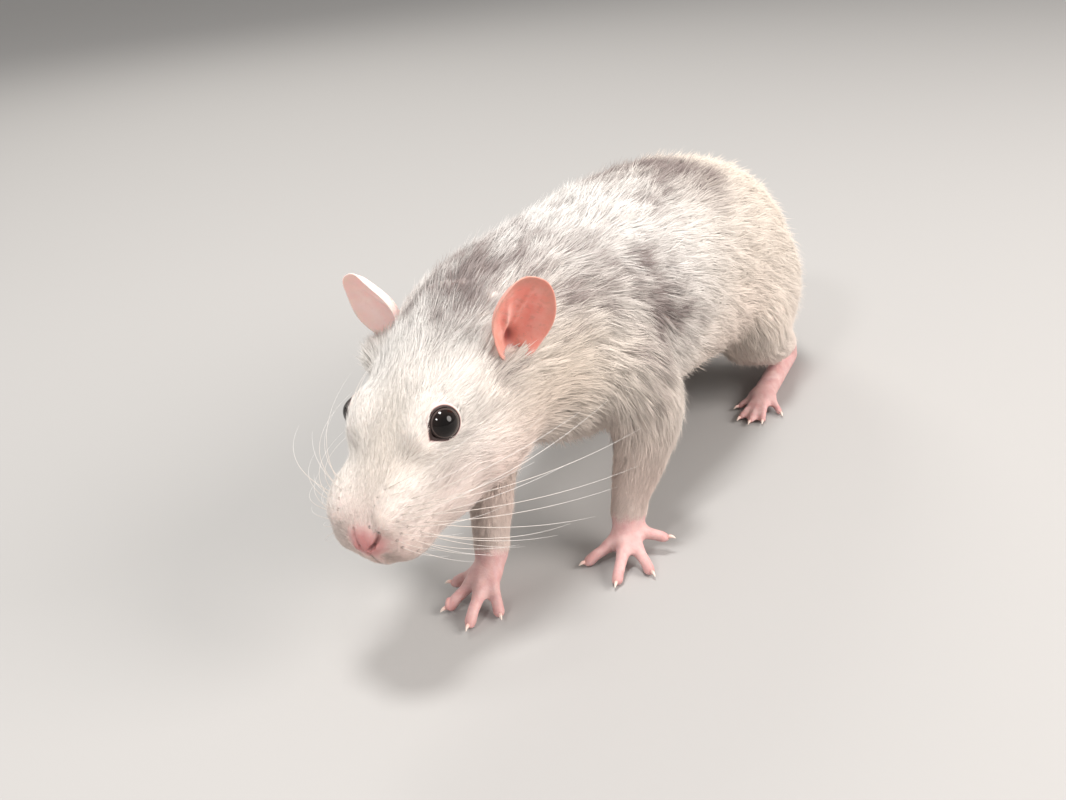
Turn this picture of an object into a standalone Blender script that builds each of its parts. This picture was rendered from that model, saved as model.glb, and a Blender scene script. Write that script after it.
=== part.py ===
"""A pet rat, modelled life size and still, as a museum shows one: it stands on the floor with its
front legs straight, the right one ahead, its head held low and its tail laid round its right side.

Metres, +Z up. The rat faces -Y, its left side is +X and its feet and tail lie on Z = 0. The body is
one flesh, cut into named parts with thin gaps; paws, ears, eyes and tail are built on their own.
Lengths in tables and argument lists are millimetres, unless they are multiplied by MM.
"""

import math

import bmesh
import bpy
import numpy as np
from mathutils import Euler, Matrix, Vector

MM = 0.001

# The gap that two touching parts keep, and the reach of a cutter that goes right through
GAP = 0.3 * MM

# Everything below is laid out from the point on the floor between the shoulders; this is where
# the middle of the finished model's box lies from there
BOX_MIDDLE = Vector((-26.1, 41.0, 0.0)) * MM

# The coat and flesh in one skin: voxel of the even mesh, smoothing passes, triangles kept
FLESH_VOXEL = 0.75 * MM
FLESH_SMOOTHING = 12
HEAD_DETAIL_TRIANGLES = 5200
BODY_DETAIL_TRIANGLES = 3100

# Head, in its own frame: x to the rat's left, y back from the nose tip, z up
NOSE = Vector((-6.7, -72.0, 33.0)) * MM
HEAD_TURN = math.radians(-3.0)
HEAD_NOD = math.radians(24.6)
HEAD_TILT = math.radians(-4.6)
# distance back, half width, rise above the axis, drop below it
HEAD_STATIONS = (
    (0.0, 3.2, 2.6, 4.4),
    (3.0, 6.5, 5.0, 7.7),
    (8.0, 8.9, 7.2, 9.7),
    (14.0, 10.0, 9.6, 10.6),
    (20.0, 11.0, 12.4, 12.4),
    (27.0, 13.2, 14.8, 14.6),
    (35.0, 16.4, 16.4, 17.2),
    (43.0, 17.8, 17.4, 18.8),
    (50.0, 18.4, 18.2, 19.4),
    (56.0, 18.6, 18.4, 19.4),
)
HEAD_ROUND = 2.2
# centre and radii of the swellings on one side of the head
WHISKER_PAD = ((5.8, 8.8, -2.0), (5.4, 8.2, 6.4))
UPPER_PAD = ((5.4, 10.5, 3.4), (4.8, 9.0, 5.0))
ORBIT = ((6.4, 25.0, 7.2), (6.2, 9.6, 7.4))
CHEEK = ((10.3, 33.5, -5.0), (7.2, 12.0, 9.6))
JOWL = ((7.0, 26.0, -5.0), (6.4, 16.0, 7.0))
# of those on its middle line
NOSE_PAD = ((0.0, 0.9, 0.6), (2.7, 2.1, 2.2))
LIPS = ((0.0, 1.8, -2.4), (4.8, 2.5, 3.8))
CHIN = ((0.0, 10.4, -7.4), (4.2, 7.0, 3.4))
# and of the ruffled hair in front of the right ear
RUFF = ((-15.5, 40.5, 7.0), (7.0, 6.0, 5.5))

EYE_CENTRE = (9.6, 24.0, 9.2)
EYE_RADIUS = 3.5
EYE_FACING = (0.86, -0.34, 0.38)
LID_THICKNESS = 0.7
LID_OPENING = 3.05
LID_CORNER = 1.1
LID_CORNER_ANGLE = math.radians(190)

NOSTRIL = ((1.55, 0.2, 0.3), (0.65, 1.5, 0.5))
NOSTRIL_SLIT = ((2.2, 0.7, 0.6), (0.95, 1.3, 0.32))
# heights of the groove below the nose, seen from the front, and the line of the mouth seen from
# below, x and y from its middle to one corner; both are laid on the face itself
PHILTRUM = (-1.2, -2.8, -4.4, -6.4)
MOUTH_LINE = ((0.0, 3.4), (2.2, 3.8), (4.4, 5.6), (6.2, 8.6), (7.2, 12.4))
GROOVE_RADIUS = 0.55

# Ears: where the root sits on the head, how far the ear leans out and back, its length and half
# width, and the direction its cup faces, in degrees out from straight ahead
EARS = {
    "left": {
        "root": (14.8, 43.0, 5.3), "out": 24.0, "back": 17.0, "length": 19.7, "half": 6.6, "facing": 50.0,
    },
    "right": {
        "root": (-14.7, 44.2, 4.9), "out": 21.0, "back": 11.0, "length": 19.0, "half": 7.0, "facing": 4.0,
    },
}
EAR_CUP_DEPTH = 2.9
EAR_THICKNESS = 0.7
EAR_RINGS = 6
EAR_SPOKES = 20
EAR_FOLD_HEIGHT = 1.1

# Torso, from the neck to the root of the tail
# distance back (y), sideways (x), centre height, half width, rise, drop
TORSO_STATIONS = (
    (-34.0, -4.0, 54.0, 16.5, 18.0, 18.0),
    (-22.0, -2.5, 54.0, 20.0, 21.0, 24.0),
    (-8.0, -1.0, 51.5, 22.5, 24.0, 27.5),
    (8.0, 0.0, 49.0, 24.0, 26.5, 27.5),
    (30.0, 0.0, 46.0, 26.0, 29.0, 26.5),
    (55.0, 0.0, 42.5, 28.0, 30.5, 26.0),
    (80.0, 0.0, 38.5, 27.5, 30.5, 24.5),
    (100.0, 0.0, 35.0, 24.5, 26.5, 21.0),
    (113.0, 0.0, 31.0, 18.0, 20.0, 15.0),
    (121.0, 0.0, 27.0, 11.0, 12.5, 9.5),
    (126.0, 0.0, 24.0, 5.0, 6.0, 5.0),
)
TORSO_ROUND = 2.15

# Legs down to wrist and ankle: x, y, z, radius
FORELEGS = {
    "left": ((15, -2, 44, 11), (20.4, -1, 33, 9.4), (19.8, -4, 22, 6.6), (18.2, -8, 13, 4.6), (18.2, -10, 7.5, 3.9)),
    "right": ((-12, -6, 44, 11), (-13, -12, 33, 9.2), (-9.5, -21, 22, 6.4), (-5.4, -30, 13, 4.5), (-4, -33.6, 8, 3.8)),
}
HAUNCH = ((17.5, 86.0, 29.0), (12.5, 24.0, 21.0))
HAUNCH_SLOPE = 20.0
HINDLEG = ((17, 90, 31, 12), (22.5, 71, 23, 9.6), (23.5, 84, 14, 6.4), (23, 97, 8, 4.0), (23, 99.5, 4, 3.6))

# What a leg takes from the flesh: the centre, radii and turn of an egg round it
FORELEG_EGGS = {
    "left": ((22.0, -3.0, 17.0), (15.0, 16.0, 25.0), (0, 0, 0)),
    "right": ((-10.5, -20.5, 19.0), (14.5, 13.0, 29.0), (-36, 0, 0)),
}
HINDLEG_EGG = ((26.0, 82.0, 20.0), (16.0, 30.0, 27.0), (12, 0, 0))
WRIST_HEIGHT = 10.0
ANKLE_HEIGHT = 8.0

# Paws: the palm's place, the way it points in degrees out from straight ahead, and for each
# digit its angle from that, its length and how high its tip is carried
FOREPAWS = {
    "left": {
        "palm": (18.4, -11.0, 5.0),
        "heading": 12.0,
        "digits": ((-38, 11.0, 0), (12, 13.6, 0), (50, 11.0, 0), (108, 9.0, 3.0)),
    },
    "right": {
        "palm": (-4.0, -35.2, 6.0),
        "heading": -6.0,
        "digits": ((-40, 10.6, 0), (-10, 14.0, 0), (27, 11.4, 0), (72, 8.6, 1.0)),
    },
}
PALM_RADII = (4.0, 4.4, 2.9)
PALM_SLOPE = 14.0
FOREPAW_DIGIT_RADIUS = 1.6
HINDFOOT = {"heel": (23.0, 101.0, 3.0), "ball": (24.5, 71.0, 2.6), "radius": (3.3, 4.2)}
HINDFOOT_DIGITS = ((-34, 7.5, 0), (-11, 13.0, 0), (1, 14.0, 0), (13, 13.0, 0), (38, 8.5, 0))
HINDFOOT_DIGIT_RADIUS = 1.35
CLAW_LENGTH = 1.9
CLAW_RADIUS = 0.5
PAW_VOXEL = 0.36 * MM
FOREPAW_TRIANGLES = 480
HINDFOOT_TRIANGLES = 520

# Tail: the line of its middle, laid on the floor from the rump round to the rat's right
TAIL_PATH = (
    (0, 110, 29),
    (-1, 122, 23.5),
    (-5, 134, 13),
    (-14, 144.5, 5.4),
    (-30, 151.5, 4.0),
    (-49, 149, 3.4),
    (-65, 137, 2.8),
    (-76, 119, 2.3),
    (-82, 98, 1.8),
    (-83, 78, 1.4),
    (-78, 60, 1.0),
)
TAIL_ROOT_RADIUS = 4.6
TAIL_TIP_RADIUS = 1.0
TAIL_TAPER = 0.85
TAIL_START = 16.0
TAIL_LENGTHS = 5
TAIL_RINGS = 10
TAIL_SIDES = 12

# Where the flesh is parted: a point on each cut and the way the cut faces
HEAD_CUT_BACK = 51.5
NECK_CUT = ((-1.0, -7.0, 52.0), (0.0, 0.98, 0.2))
WAIST_CUT = ((0.0, 44.0, 46.0), (0.0, 1.0, 0.0))

# Colours in linear light, roughness
WHITE_COAT = ((0.78, 0.74, 0.69), 0.85)
GREY_COAT = ((0.56, 0.54, 0.53), 0.85)
PINK_SKIN = ((0.72, 0.42, 0.37), 0.55)
EAR_SKIN = ((0.70, 0.33, 0.27), 0.5)
EYE_BLACK = ((0.008, 0.006, 0.006), 0.05)


def material(name, finish):
    """A plain material of a colour and a roughness."""
    colour, roughness = finish
    made = bpy.data.materials.get(name) or bpy.data.materials.new(name)
    made.use_nodes = True
    shader = made.node_tree.nodes["Principled BSDF"]
    shader.inputs["Base Color"].default_value = (*colour, 1)
    shader.inputs["Roughness"].default_value = roughness
    shader.inputs["Metallic"].default_value = 0
    return made


def blend_rows(rows, count):
    """Rows of numbers resampled along a smooth curve through them, keyed by their first column."""
    table = np.array(rows, float)
    keys = table[:, 0]
    wanted = np.linspace(keys[0], keys[-1], count)
    steps = np.diff(keys)
    slopes = np.diff(table, axis=0) / steps[:, None]
    tangents = np.vstack([slopes[:1], (slopes[1:] + slopes[:-1]) / 2, slopes[-1:]])
    cell = np.clip(np.searchsorted(keys, wanted, side="right") - 1, 0, len(keys) - 2)
    t = ((wanted - keys[cell]) / steps[cell])[:, None]
    width = steps[cell][:, None]
    a, b = table[cell], table[cell + 1]
    return (
        (2 * t**3 - 3 * t**2 + 1) * a
        + (t**3 - 2 * t**2 + t) * width * tangents[cell]
        + (-2 * t**3 + 3 * t**2) * b
        + (t**3 - t**2) * width * tangents[cell + 1]
    )


def link(name, mesh):
    """A new object in the scene for a mesh."""
    made = bpy.data.objects.new(name, mesh)
    bpy.context.scene.collection.objects.link(made)
    return made


def mesh_of(name, shape):
    """A mesh from a bmesh, which is freed."""
    mesh = bpy.data.meshes.new(name)
    shape.to_mesh(mesh)
    shape.free()
    return mesh


def loft(name, rings):
    """A closed shape through rings of points, each of the same count, with its ends filled."""
    shape = bmesh.new()
    rows = [[shape.verts.new(point) for point in ring] for ring in rings]
    for low, high in zip(rows, rows[1:]):
        for i, corner in enumerate(low):
            j = (i + 1) % len(low)
            shape.faces.new((corner, low[j], high[j], high[i]))
    shape.faces.new(rows[0])
    shape.faces.new(rows[-1])
    bmesh.ops.recalc_face_normals(shape, faces=shape.faces)
    return link(name, mesh_of(name, shape))


def egg_ring(y, x, z, half_width, rise, drop, squareness, count=36):
    """One upright cross-section, rounded, with its own reach above and below its centre."""
    ring = []
    for i in range(count):
        angle = 2 * math.pi * i / count
        c, s = math.cos(angle), math.sin(angle)
        across = math.copysign(abs(c) ** (2 / squareness), c) * half_width
        up = math.copysign(abs(s) ** (2 / squareness), s) * (rise if s > 0 else drop)
        ring.append(Vector((x + across, y, z + up)))
    return ring


def egg(name, centre, radii, turn=(0, 0, 0), place=Matrix.Identity(4), grow=0.0, fine=1.0):
    """A closed ellipsoid: centre and radii in millimetres, its turn in degrees."""
    shape = bmesh.new()
    bmesh.ops.create_uvsphere(
        shape, u_segments=int(28 * fine), v_segments=int(18 * fine), radius=1
    )
    spin = Euler([math.radians(a) for a in turn]).to_matrix().to_4x4()
    size = Matrix.Diagonal((*[r * MM + grow for r in radii], 1))
    made = link(name, mesh_of(name, shape))
    made.data.transform(place @ Matrix.Translation(Vector(centre) * MM) @ spin @ size)
    return made


def headings(points):
    """The way a line of points runs at each of them."""
    last = len(points) - 1
    return [
        (points[min(i + 1, last)] - points[max(i - 1, 0)]).normalized() for i in range(last + 1)
    ]


def tube_rings(points, ways, radii, count):
    """Rings square to a line of points, turned as little as possible from one to the next."""
    rings = []
    side = ways[0].orthogonal().normalized()
    for i, (point, ahead) in enumerate(zip(points, ways)):
        side = (side - ahead * side.dot(ahead)).normalized()
        other = ahead.cross(side)
        rings.append([
            point + (side * math.cos(a) + other * math.sin(a)) * radii[i]
            for a in (2 * math.pi * k / count for k in range(count))
        ])
    return rings


def smooth_line(rows, count):
    """A smooth line through rows of x, y, z and more, its points spaced evenly by length."""
    table = np.array(rows, float)
    steps = np.linalg.norm(np.diff(table[:, :3], axis=0), axis=1)
    keys = np.concatenate([[0], np.cumsum(steps)])
    return blend_rows(np.column_stack([keys, table]), count)


def tube(name, rows, place=Matrix.Identity(4), count=20, per_row=3):
    """A closed tapered tube through rows of x, y, z and radius in millimetres."""
    full = smooth_line(rows, per_row * len(rows)) * MM
    points = [place @ Vector(row[1:4]) for row in full]
    return loft(name, tube_rings(points, headings(points), full[:, 4], count))


def head_place():
    """The matrix that carries the head's own frame, nose tip at its origin, to its pose."""
    turn = Matrix.Rotation(HEAD_TURN, 4, "Z")
    nod = Matrix.Rotation(HEAD_NOD, 4, "X")
    tilt = Matrix.Rotation(HEAD_TILT, 4, "Y")
    return Matrix.Translation(NOSE) @ turn @ nod @ tilt


def mirrored(centre, side):
    """A place of the left side, or its twin on the right."""
    return (centre[0] * side, *centre[1:])


def applied(piece):
    """The piece with its modifiers made part of its mesh."""
    graph = bpy.context.evaluated_depsgraph_get()
    mesh = bpy.data.meshes.new_from_object(piece.evaluated_get(graph))
    old = piece.data
    piece.modifiers.clear()
    piece.data = mesh
    bpy.data.meshes.remove(old)
    return piece


def joined(name, pieces):
    """One object that holds several closed pieces, which are removed."""
    shape = bmesh.new()
    for piece in pieces:
        shape.from_mesh(piece.data)
        bpy.data.objects.remove(piece)
    return link(name, mesh_of(name, shape))


def evened(piece, voxel, smoothing):
    """Overlapping pieces made one even, softened skin."""
    remesh = piece.modifiers.new("even", "REMESH")
    remesh.mode = "VOXEL"
    remesh.voxel_size = voxel
    smooth = piece.modifiers.new("soften", "SMOOTH")
    smooth.factor = 0.5
    smooth.iterations = smoothing
    return applied(piece)


def thinned(name, piece, triangles):
    """A copy of a piece with about this many triangles."""
    made = link(name, piece.data.copy())
    thin = made.modifiers.new("thin", "DECIMATE")
    made.data.calc_loop_triangles()
    thin.ratio = min(1.0, triangles / len(made.data.loop_triangles))
    thin.use_collapse_triangulate = True
    return applied(made)


def largest_only(piece):
    """The piece without any but its largest closed surface."""
    shape = bmesh.new()
    shape.from_mesh(piece.data)
    bmesh.ops.remove_doubles(shape, verts=shape.verts, dist=0.002 * MM)
    bmesh.ops.dissolve_degenerate(shape, edges=shape.edges, dist=0.002 * MM)
    left = set(shape.faces)
    bodies = []
    while left:
        body, front = set(), [left.pop()]
        while front:
            face = front.pop()
            body.add(face)
            near = {other for edge in face.edges for other in edge.link_faces} & left
            left -= near
            front.extend(near)
        bodies.append(body)
    largest = max(bodies, key=lambda body: sum(face.calc_area() for face in body))
    drop = [face for body in bodies if body is not largest for face in body]
    bmesh.ops.delete(shape, geom=drop, context="FACES")
    bmesh.ops.delete(shape, geom=[v for v in shape.verts if not v.link_faces], context="VERTS")
    bmesh.ops.triangulate(shape, faces=shape.faces)
    shape.to_mesh(piece.data)
    shape.free()
    return piece


def carved(piece, cutters, operation="DIFFERENCE", solver="EXACT"):
    """The piece after a Boolean with each cutter in turn, the cutters removed."""
    for cutter in cutters:
        cut = piece.modifiers.new("cut", "BOOLEAN")
        cut.operation = operation
        cut.solver = solver
        cut.object = cutter
        applied(piece)
        bpy.data.objects.remove(cutter)
    return largest_only(piece)


def sliced(piece, point, facing, keep_front, gap=GAP / 2):
    """The part of a closed piece on one side of a plane, set back from it by half the gap."""
    facing = Vector(facing).normalized()
    shift = facing * (gap if keep_front else -gap)
    shape = bmesh.new()
    shape.from_mesh(piece.data)
    everything = [*shape.verts, *shape.edges, *shape.faces]
    bmesh.ops.bisect_plane(
        shape,
        geom=everything,
        plane_co=Vector(point) + shift,
        plane_no=facing,
        clear_inner=keep_front,
        clear_outer=not keep_front,
    )
    rims = [edge for edge in shape.edges if edge.is_boundary]
    bmesh.ops.triangle_fill(shape, edges=rims, use_beauty=True, normal=facing)
    bmesh.ops.recalc_face_normals(shape, faces=shape.faces)
    bmesh.ops.triangulate(shape, faces=shape.faces)
    shape.to_mesh(piece.data)
    shape.free()
    return piece


def copy_of(piece, name):
    """A copy of an object with its own mesh."""
    return link(name, piece.data.copy())


def grown(piece, name, distance):
    """A copy of a closed piece swollen by a distance."""
    made = copy_of(piece, name)
    swell = made.modifiers.new("swell", "DISPLACE")
    swell.strength = distance
    swell.mid_level = 0
    return applied(made)


def flesh_pieces():
    """The overlapping forms of head, torso and legs, down to the wrists and ankles."""
    place = head_place()
    head = [
        egg_ring(y, 0, 0, w, up, down, HEAD_ROUND)
        for y, w, up, down in blend_rows(HEAD_STATIONS, 24) * MM
    ]
    torso = [
        egg_ring(y, x, z, w, up, down, TORSO_ROUND)
        for y, x, z, w, up, down in blend_rows(TORSO_STATIONS, 36) * MM
    ]
    pieces = [
        loft("head_form", [[place @ point for point in ring] for ring in head]),
        loft("torso_form", torso),
        *(egg("face_form", *form, place=place) for form in (NOSE_PAD, LIPS, CHIN, RUFF)),
        tube("tail_root_form", tail_rows()[:14]),
    ]
    for word, side in (("left", 1), ("right", -1)):
        for form in (WHISKER_PAD, UPPER_PAD, ORBIT, CHEEK, JOWL):
            pieces.append(egg("swelling", mirrored(form[0], side), form[1], place=place))
        haunch, radii = HAUNCH
        pieces.append(egg("haunch_form", mirrored(haunch, side), radii, (HAUNCH_SLOPE, 0, 0)))
        for leg in (FORELEGS[word], [mirrored(row, side) for row in HINDLEG]):
            pieces.append(tube("leg_form", leg))
            pieces.append(egg("leg_top", leg[0][:3], [leg[0][3]] * 3))
    return pieces


def eye_frame(side):
    """The eye's own frame: z out along its gaze, y up, at the eye's centre in the head's pose."""
    facing = Vector(mirrored(EYE_FACING, side)).normalized()
    up = Vector((0, 0, 1))
    up = (up - facing * up.dot(facing)).normalized()
    across = up.cross(facing)
    turn = Matrix((across, up, facing)).transposed().to_4x4()
    return head_place() @ Matrix.Translation(Vector(mirrored(EYE_CENTRE, side)) * MM) @ turn


def lid_opening(side):
    """A cutter of the lids' outline: round, drawn out to a corner low towards the nose."""
    place = eye_frame(side)
    rings = []
    for out in (0.0, 9.0):
        ring = []
        for i in range(32):
            angle = 2 * math.pi * i / 32
            corner = LID_CORNER_ANGLE if side > 0 else math.pi - LID_CORNER_ANGLE
            turn = (angle - corner + math.pi) % (2 * math.pi) - math.pi
            reach = (LID_OPENING + LID_CORNER * math.exp(-((turn / 0.34) ** 2))) * MM
            ring.append(place @ Vector((reach * math.cos(angle), reach * math.sin(angle), out * MM)))
        rings.append(ring)
    return loft("lid_opening", rings)


def on_face(head, start, way):
    """Where a line from a point of the head's frame, in millimetres, first meets the head."""
    place = head_place()
    hit, spot, _, _ = head.ray_cast(place @ (Vector(start) * MM), place.to_3x3() @ Vector(way))
    return place.inverted() @ spot / MM if hit else Vector(start)


def groove(name, spots):
    """A thin tube through points of the head's frame, which cuts a groove half its depth deep."""
    return tube(name, [(*spot, GROOVE_RADIUS) for spot in spots], head_place(), count=8, per_row=2)


def head_node(flesh):
    """The head: lids round both sockets, nostrils, the groove under the nose and the mouth."""
    place = head_place()
    behind = place @ (Vector((0, HEAD_CUT_BACK, 0)) * MM)
    head = sliced(thinned("head", flesh, HEAD_DETAIL_TRIANGLES), behind, place.col[1][:3], False)
    carved(head, [leg_region(spec, GAP) for spec in FORELEG_EGGS.values()])
    lids = [
        egg("lid", mirrored(EYE_CENTRE, side), [EYE_RADIUS + LID_THICKNESS] * 3, place=place, fine=0.8)
        for side in (1, -1)
    ]
    carved(head, lids, "UNION")
    cutters = []
    for side in (1, -1):
        socket = [EYE_RADIUS] * 3
        cutters.append(
            egg("socket", mirrored(EYE_CENTRE, side), socket, place=place, grow=GAP, fine=0.8)
        )
        cutters.append(lid_opening(side))
        for centre, radii in (NOSTRIL, NOSTRIL_SLIT):
            cutters.append(
                egg("nostril", mirrored(centre, side), radii, (0, 30 * side, 25 * side), place, fine=0.5)
            )
    lips = [(-x, y) for x, y in reversed(MOUTH_LINE[1:])] + list(MOUTH_LINE)
    cutters.append(groove("mouth", [on_face(head, (x, y, -30), (0, 0, 1)) for x, y in lips]))
    cutters.append(groove("philtrum", [on_face(head, (0, -9, z), (0, 1, 0)) for z in PHILTRUM]))
    return carved(head, cutters)


def eye_node(word, side):
    """One eyeball, a plain polished sphere in its socket."""
    centre = mirrored(EYE_CENTRE, side)
    return egg(f"eye_{word}", centre, [EYE_RADIUS] * 3, place=head_place(), fine=0.7)


def ear_point(along, across, spec):
    """A point of the ear's cup in the ear's frame: x across, y along it, z towards its opening."""
    half = spec["length"] / 2
    reach = math.hypot(along, across)
    narrow = 1 - 0.26 * ((1 - along) / 2) ** 2
    deep = EAR_CUP_DEPTH * (1 - reach**2) * (1.15 - 0.45 * along)
    fold = EAR_FOLD_HEIGHT * math.exp(-(((across + 0.35) / 0.16) ** 2) - ((along + 0.1) / 0.4) ** 2)
    return Vector((across * spec["half"] * narrow, half * (1 + along), fold - deep)) * MM


def ear_frame(word, side):
    """The matrix of an ear's own frame, with its root at the origin."""
    spec = EARS[word]
    out, back, facing = (math.radians(spec[key]) for key in ("out", "back", "facing"))
    along = Vector((side * math.sin(out) * math.cos(back), math.sin(back), math.cos(out) * math.cos(back)))
    front = Vector((side * math.sin(facing), -math.cos(facing), 0))
    front = (front - along * front.dot(along)).normalized()
    across = along.cross(front) * side
    turn = Matrix((across, along, front)).transposed().to_4x4()
    return head_place() @ Matrix.Translation(Vector(spec["root"]) * MM) @ turn


def ear_node(word, side, flesh):
    """One ear: a thin cup with a fold inside its front edge, standing on head and neck."""
    place = ear_frame(word, side)
    spec = EARS[word]
    shape = bmesh.new()
    middle = shape.verts.new(place @ ear_point(0, 0, spec))
    rows = []
    for ring in range(1, EAR_RINGS + 1):
        reach = ring / EAR_RINGS
        angles = [2 * math.pi * i / EAR_SPOKES for i in range(EAR_SPOKES)]
        rows.append([
            shape.verts.new(place @ ear_point(reach * math.sin(a), reach * math.cos(a), spec))
            for a in angles
        ])
    for i in range(EAR_SPOKES):
        j = (i + 1) % EAR_SPOKES
        shape.faces.new((middle, rows[0][i], rows[0][j]))
        for low, high in zip(rows, rows[1:]):
            shape.faces.new((low[i], high[i], high[j]))
            shape.faces.new((low[i], high[j], low[j]))
    bmesh.ops.recalc_face_normals(shape, faces=shape.faces)
    ear = link(f"ear_{word}", mesh_of("ear", shape))
    wall = ear.modifiers.new("wall", "SOLIDIFY")
    wall.thickness = EAR_THICKNESS * MM
    wall.offset = 0
    applied(ear)
    root = egg("ear_root", (0, 2.4, -5.4), (3.4, 4.4, 2.8), place=place, fine=0.6)
    carved(ear, [root], "UNION")
    return carved(ear, [grown(node, "clear", GAP) for node in flesh])


def digit(root, angle, length, radius, lift):
    """One digit with its claw: out from the paw over a raised knuckle to a tip on the floor."""
    ahead = Vector((math.sin(angle), -math.cos(angle), 0))
    start = Vector((*root[:2], 0))
    palm, tip = root[2], radius * 0.6 + lift
    knuckle = max(palm * 0.78, tip + 1.4)
    stations = ((0.0, palm, 1.1), (0.4, knuckle, 1.0), (0.74, (knuckle + tip) / 2, 0.9), (1.0, tip, 0.82))
    rows = []
    for share, height, width in stations:
        spot = start + ahead * length * share
        rows.append((spot.x, spot.y, height, radius * width))
    end = start + ahead * length
    flesh = [
        tube("digit", rows, count=12),
        egg("digit_tip", (end.x, end.y, tip), [radius * 0.92] * 3, fine=0.5),
    ]
    claw_rows = []
    for share, fall in ((-0.4, 0.35), (0.35, 0.55), (0.75, 0.35), (1.0, 0.0)):
        spot = end + ahead * (radius * 0.6 + CLAW_LENGTH * share)
        claw_rows.append((spot.x, spot.y, tip - 0.45 + fall, CLAW_RADIUS * (1.05 - 0.8 * max(share, 0))))
    return flesh, tube("claw", claw_rows, count=6, per_row=1)


def paw(name, forms, digits, triangles, cut_height):
    """A paw fused from its forms and digits, cut flat below its joint and where it stands."""
    claws = []
    for spec in digits:
        flesh, claw = digit(*spec)
        forms.extend(flesh)
        claws.append(claw)
    soft = evened(joined("paw_flesh", forms), PAW_VOXEL, 3)
    made = thinned(name, soft, triangles)
    bpy.data.objects.remove(soft)
    carved(made, claws, "UNION")
    sliced(made, Vector((0, 0, cut_height * MM)), (0, 0, 1), False)
    return sliced(made, Vector((0, 0, 0)), (0, 0, 1), True, gap=0)


def forepaw_node(word, side):
    """One forepaw: the wrist, a palm and four spread digits with claws."""
    spec = FOREPAWS[word]
    x, y, z = spec["palm"]
    leg = FORELEGS[word]
    forms = [
        egg("palm", (x, y - 1.0, z - 0.4), PALM_RADII, (PALM_SLOPE, 0, spec["heading"] * side)),
        tube("wrist", (*leg[-3:], (x, y - 1.0, z - 0.4, 2.8))),
    ]
    digits = []
    for angle, length, lift in spec["digits"]:
        digits.append(((x, y, z), math.radians(angle) * side, length, FOREPAW_DIGIT_RADIUS, lift))
    return paw(f"forepaw_{word}", forms, digits, FOREPAW_TRIANGLES, WRIST_HEIGHT)


def hindfoot_node(word, side):
    """One hindfoot: a long sole flat on the floor, with five digits and claws."""
    heel, ball = (mirrored(HINDFOOT[key], side) for key in ("heel", "ball"))
    thin, broad = HINDFOOT["radius"]
    middle = (Vector(heel) + Vector(ball)) / 2
    leg = [mirrored(row, side) for row in HINDLEG[-3:]]
    forms = [
        tube("sole", ((*heel, thin), (*middle, thin), (*ball, broad * 0.8))),
        egg("heel", heel, (thin, thin, thin)),
        egg("ball", ball, (broad, broad, 2.8)),
        tube("ankle", leg),
    ]
    digits = []
    for angle, length, lift in HINDFOOT_DIGITS:
        way = math.radians(angle) * side
        root = (ball[0] + math.sin(way) * 2.0, ball[1] + 1.5, ball[2])
        digits.append((root, way, length, HINDFOOT_DIGIT_RADIUS, lift))
    return paw(f"hindfoot_{word}", forms, digits, HINDFOOT_TRIANGLES, ANKLE_HEIGHT)


def leg_region(spec, grow=0.0):
    """The egg round a leg that parts it from the rest of the flesh."""
    centre, radii, turn = spec
    return egg("leg_region", centre, radii, turn, grow=grow, fine=0.9)


def leg_node(name, flesh, spec, cut_height):
    """A leg taken out of the flesh by an egg round it, ending at the wrist or ankle."""
    leg = carved(copy_of(flesh, name), [leg_region(spec)], "INTERSECT")
    return sliced(leg, Vector((0, 0, cut_height * MM)), (0, 0, 1), True)


def tail_rows():
    """Rows of x, y, z and radius along the whole tail, evenly spaced."""
    line = smooth_line(TAIL_PATH, 90)
    share = line[:, 0] / line[-1, 0]
    radii = TAIL_TIP_RADIUS + (TAIL_ROOT_RADIUS - TAIL_TIP_RADIUS) * (1 - share) ** TAIL_TAPER
    return [(*row[1:4], radius) for row, radius in zip(line, radii)]


def tail_nodes():
    """The tail in a few lengths end to end, each flat where it lies on the floor."""
    rows = np.array(tail_rows())
    steps = np.linalg.norm(np.diff(rows[:, :3], axis=0), axis=1)
    along = np.concatenate([[0], np.cumsum(steps)])
    rows = np.column_stack([rows, headings([Vector(row[:3]) for row in rows])])
    marks = np.linspace(TAIL_START, along[-1], TAIL_LENGTHS + 1)
    nodes = []
    for number, (start, end) in enumerate(zip(marks, marks[1:]), 1):
        span = np.linspace(start + GAP / MM / 2, end - GAP / MM / 2, TAIL_RINGS)
        full = np.column_stack([np.interp(span, along, column) for column in rows.T])
        points = [Vector(row[:3]) * MM for row in full]
        ways = [Vector(row[4:]).normalized() for row in full]
        length = loft(f"tail_{number}", tube_rings(points, ways, full[:, 3] * MM, TAIL_SIDES))
        nodes.append(sliced(length, Vector((0, 0, 0)), (0, 0, 1), True, gap=0))
    root = [np.interp(TAIL_START, along, column) for column in rows.T]
    return nodes, Vector(root[:3]) * MM, Vector(root[4:]).normalized()


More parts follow.
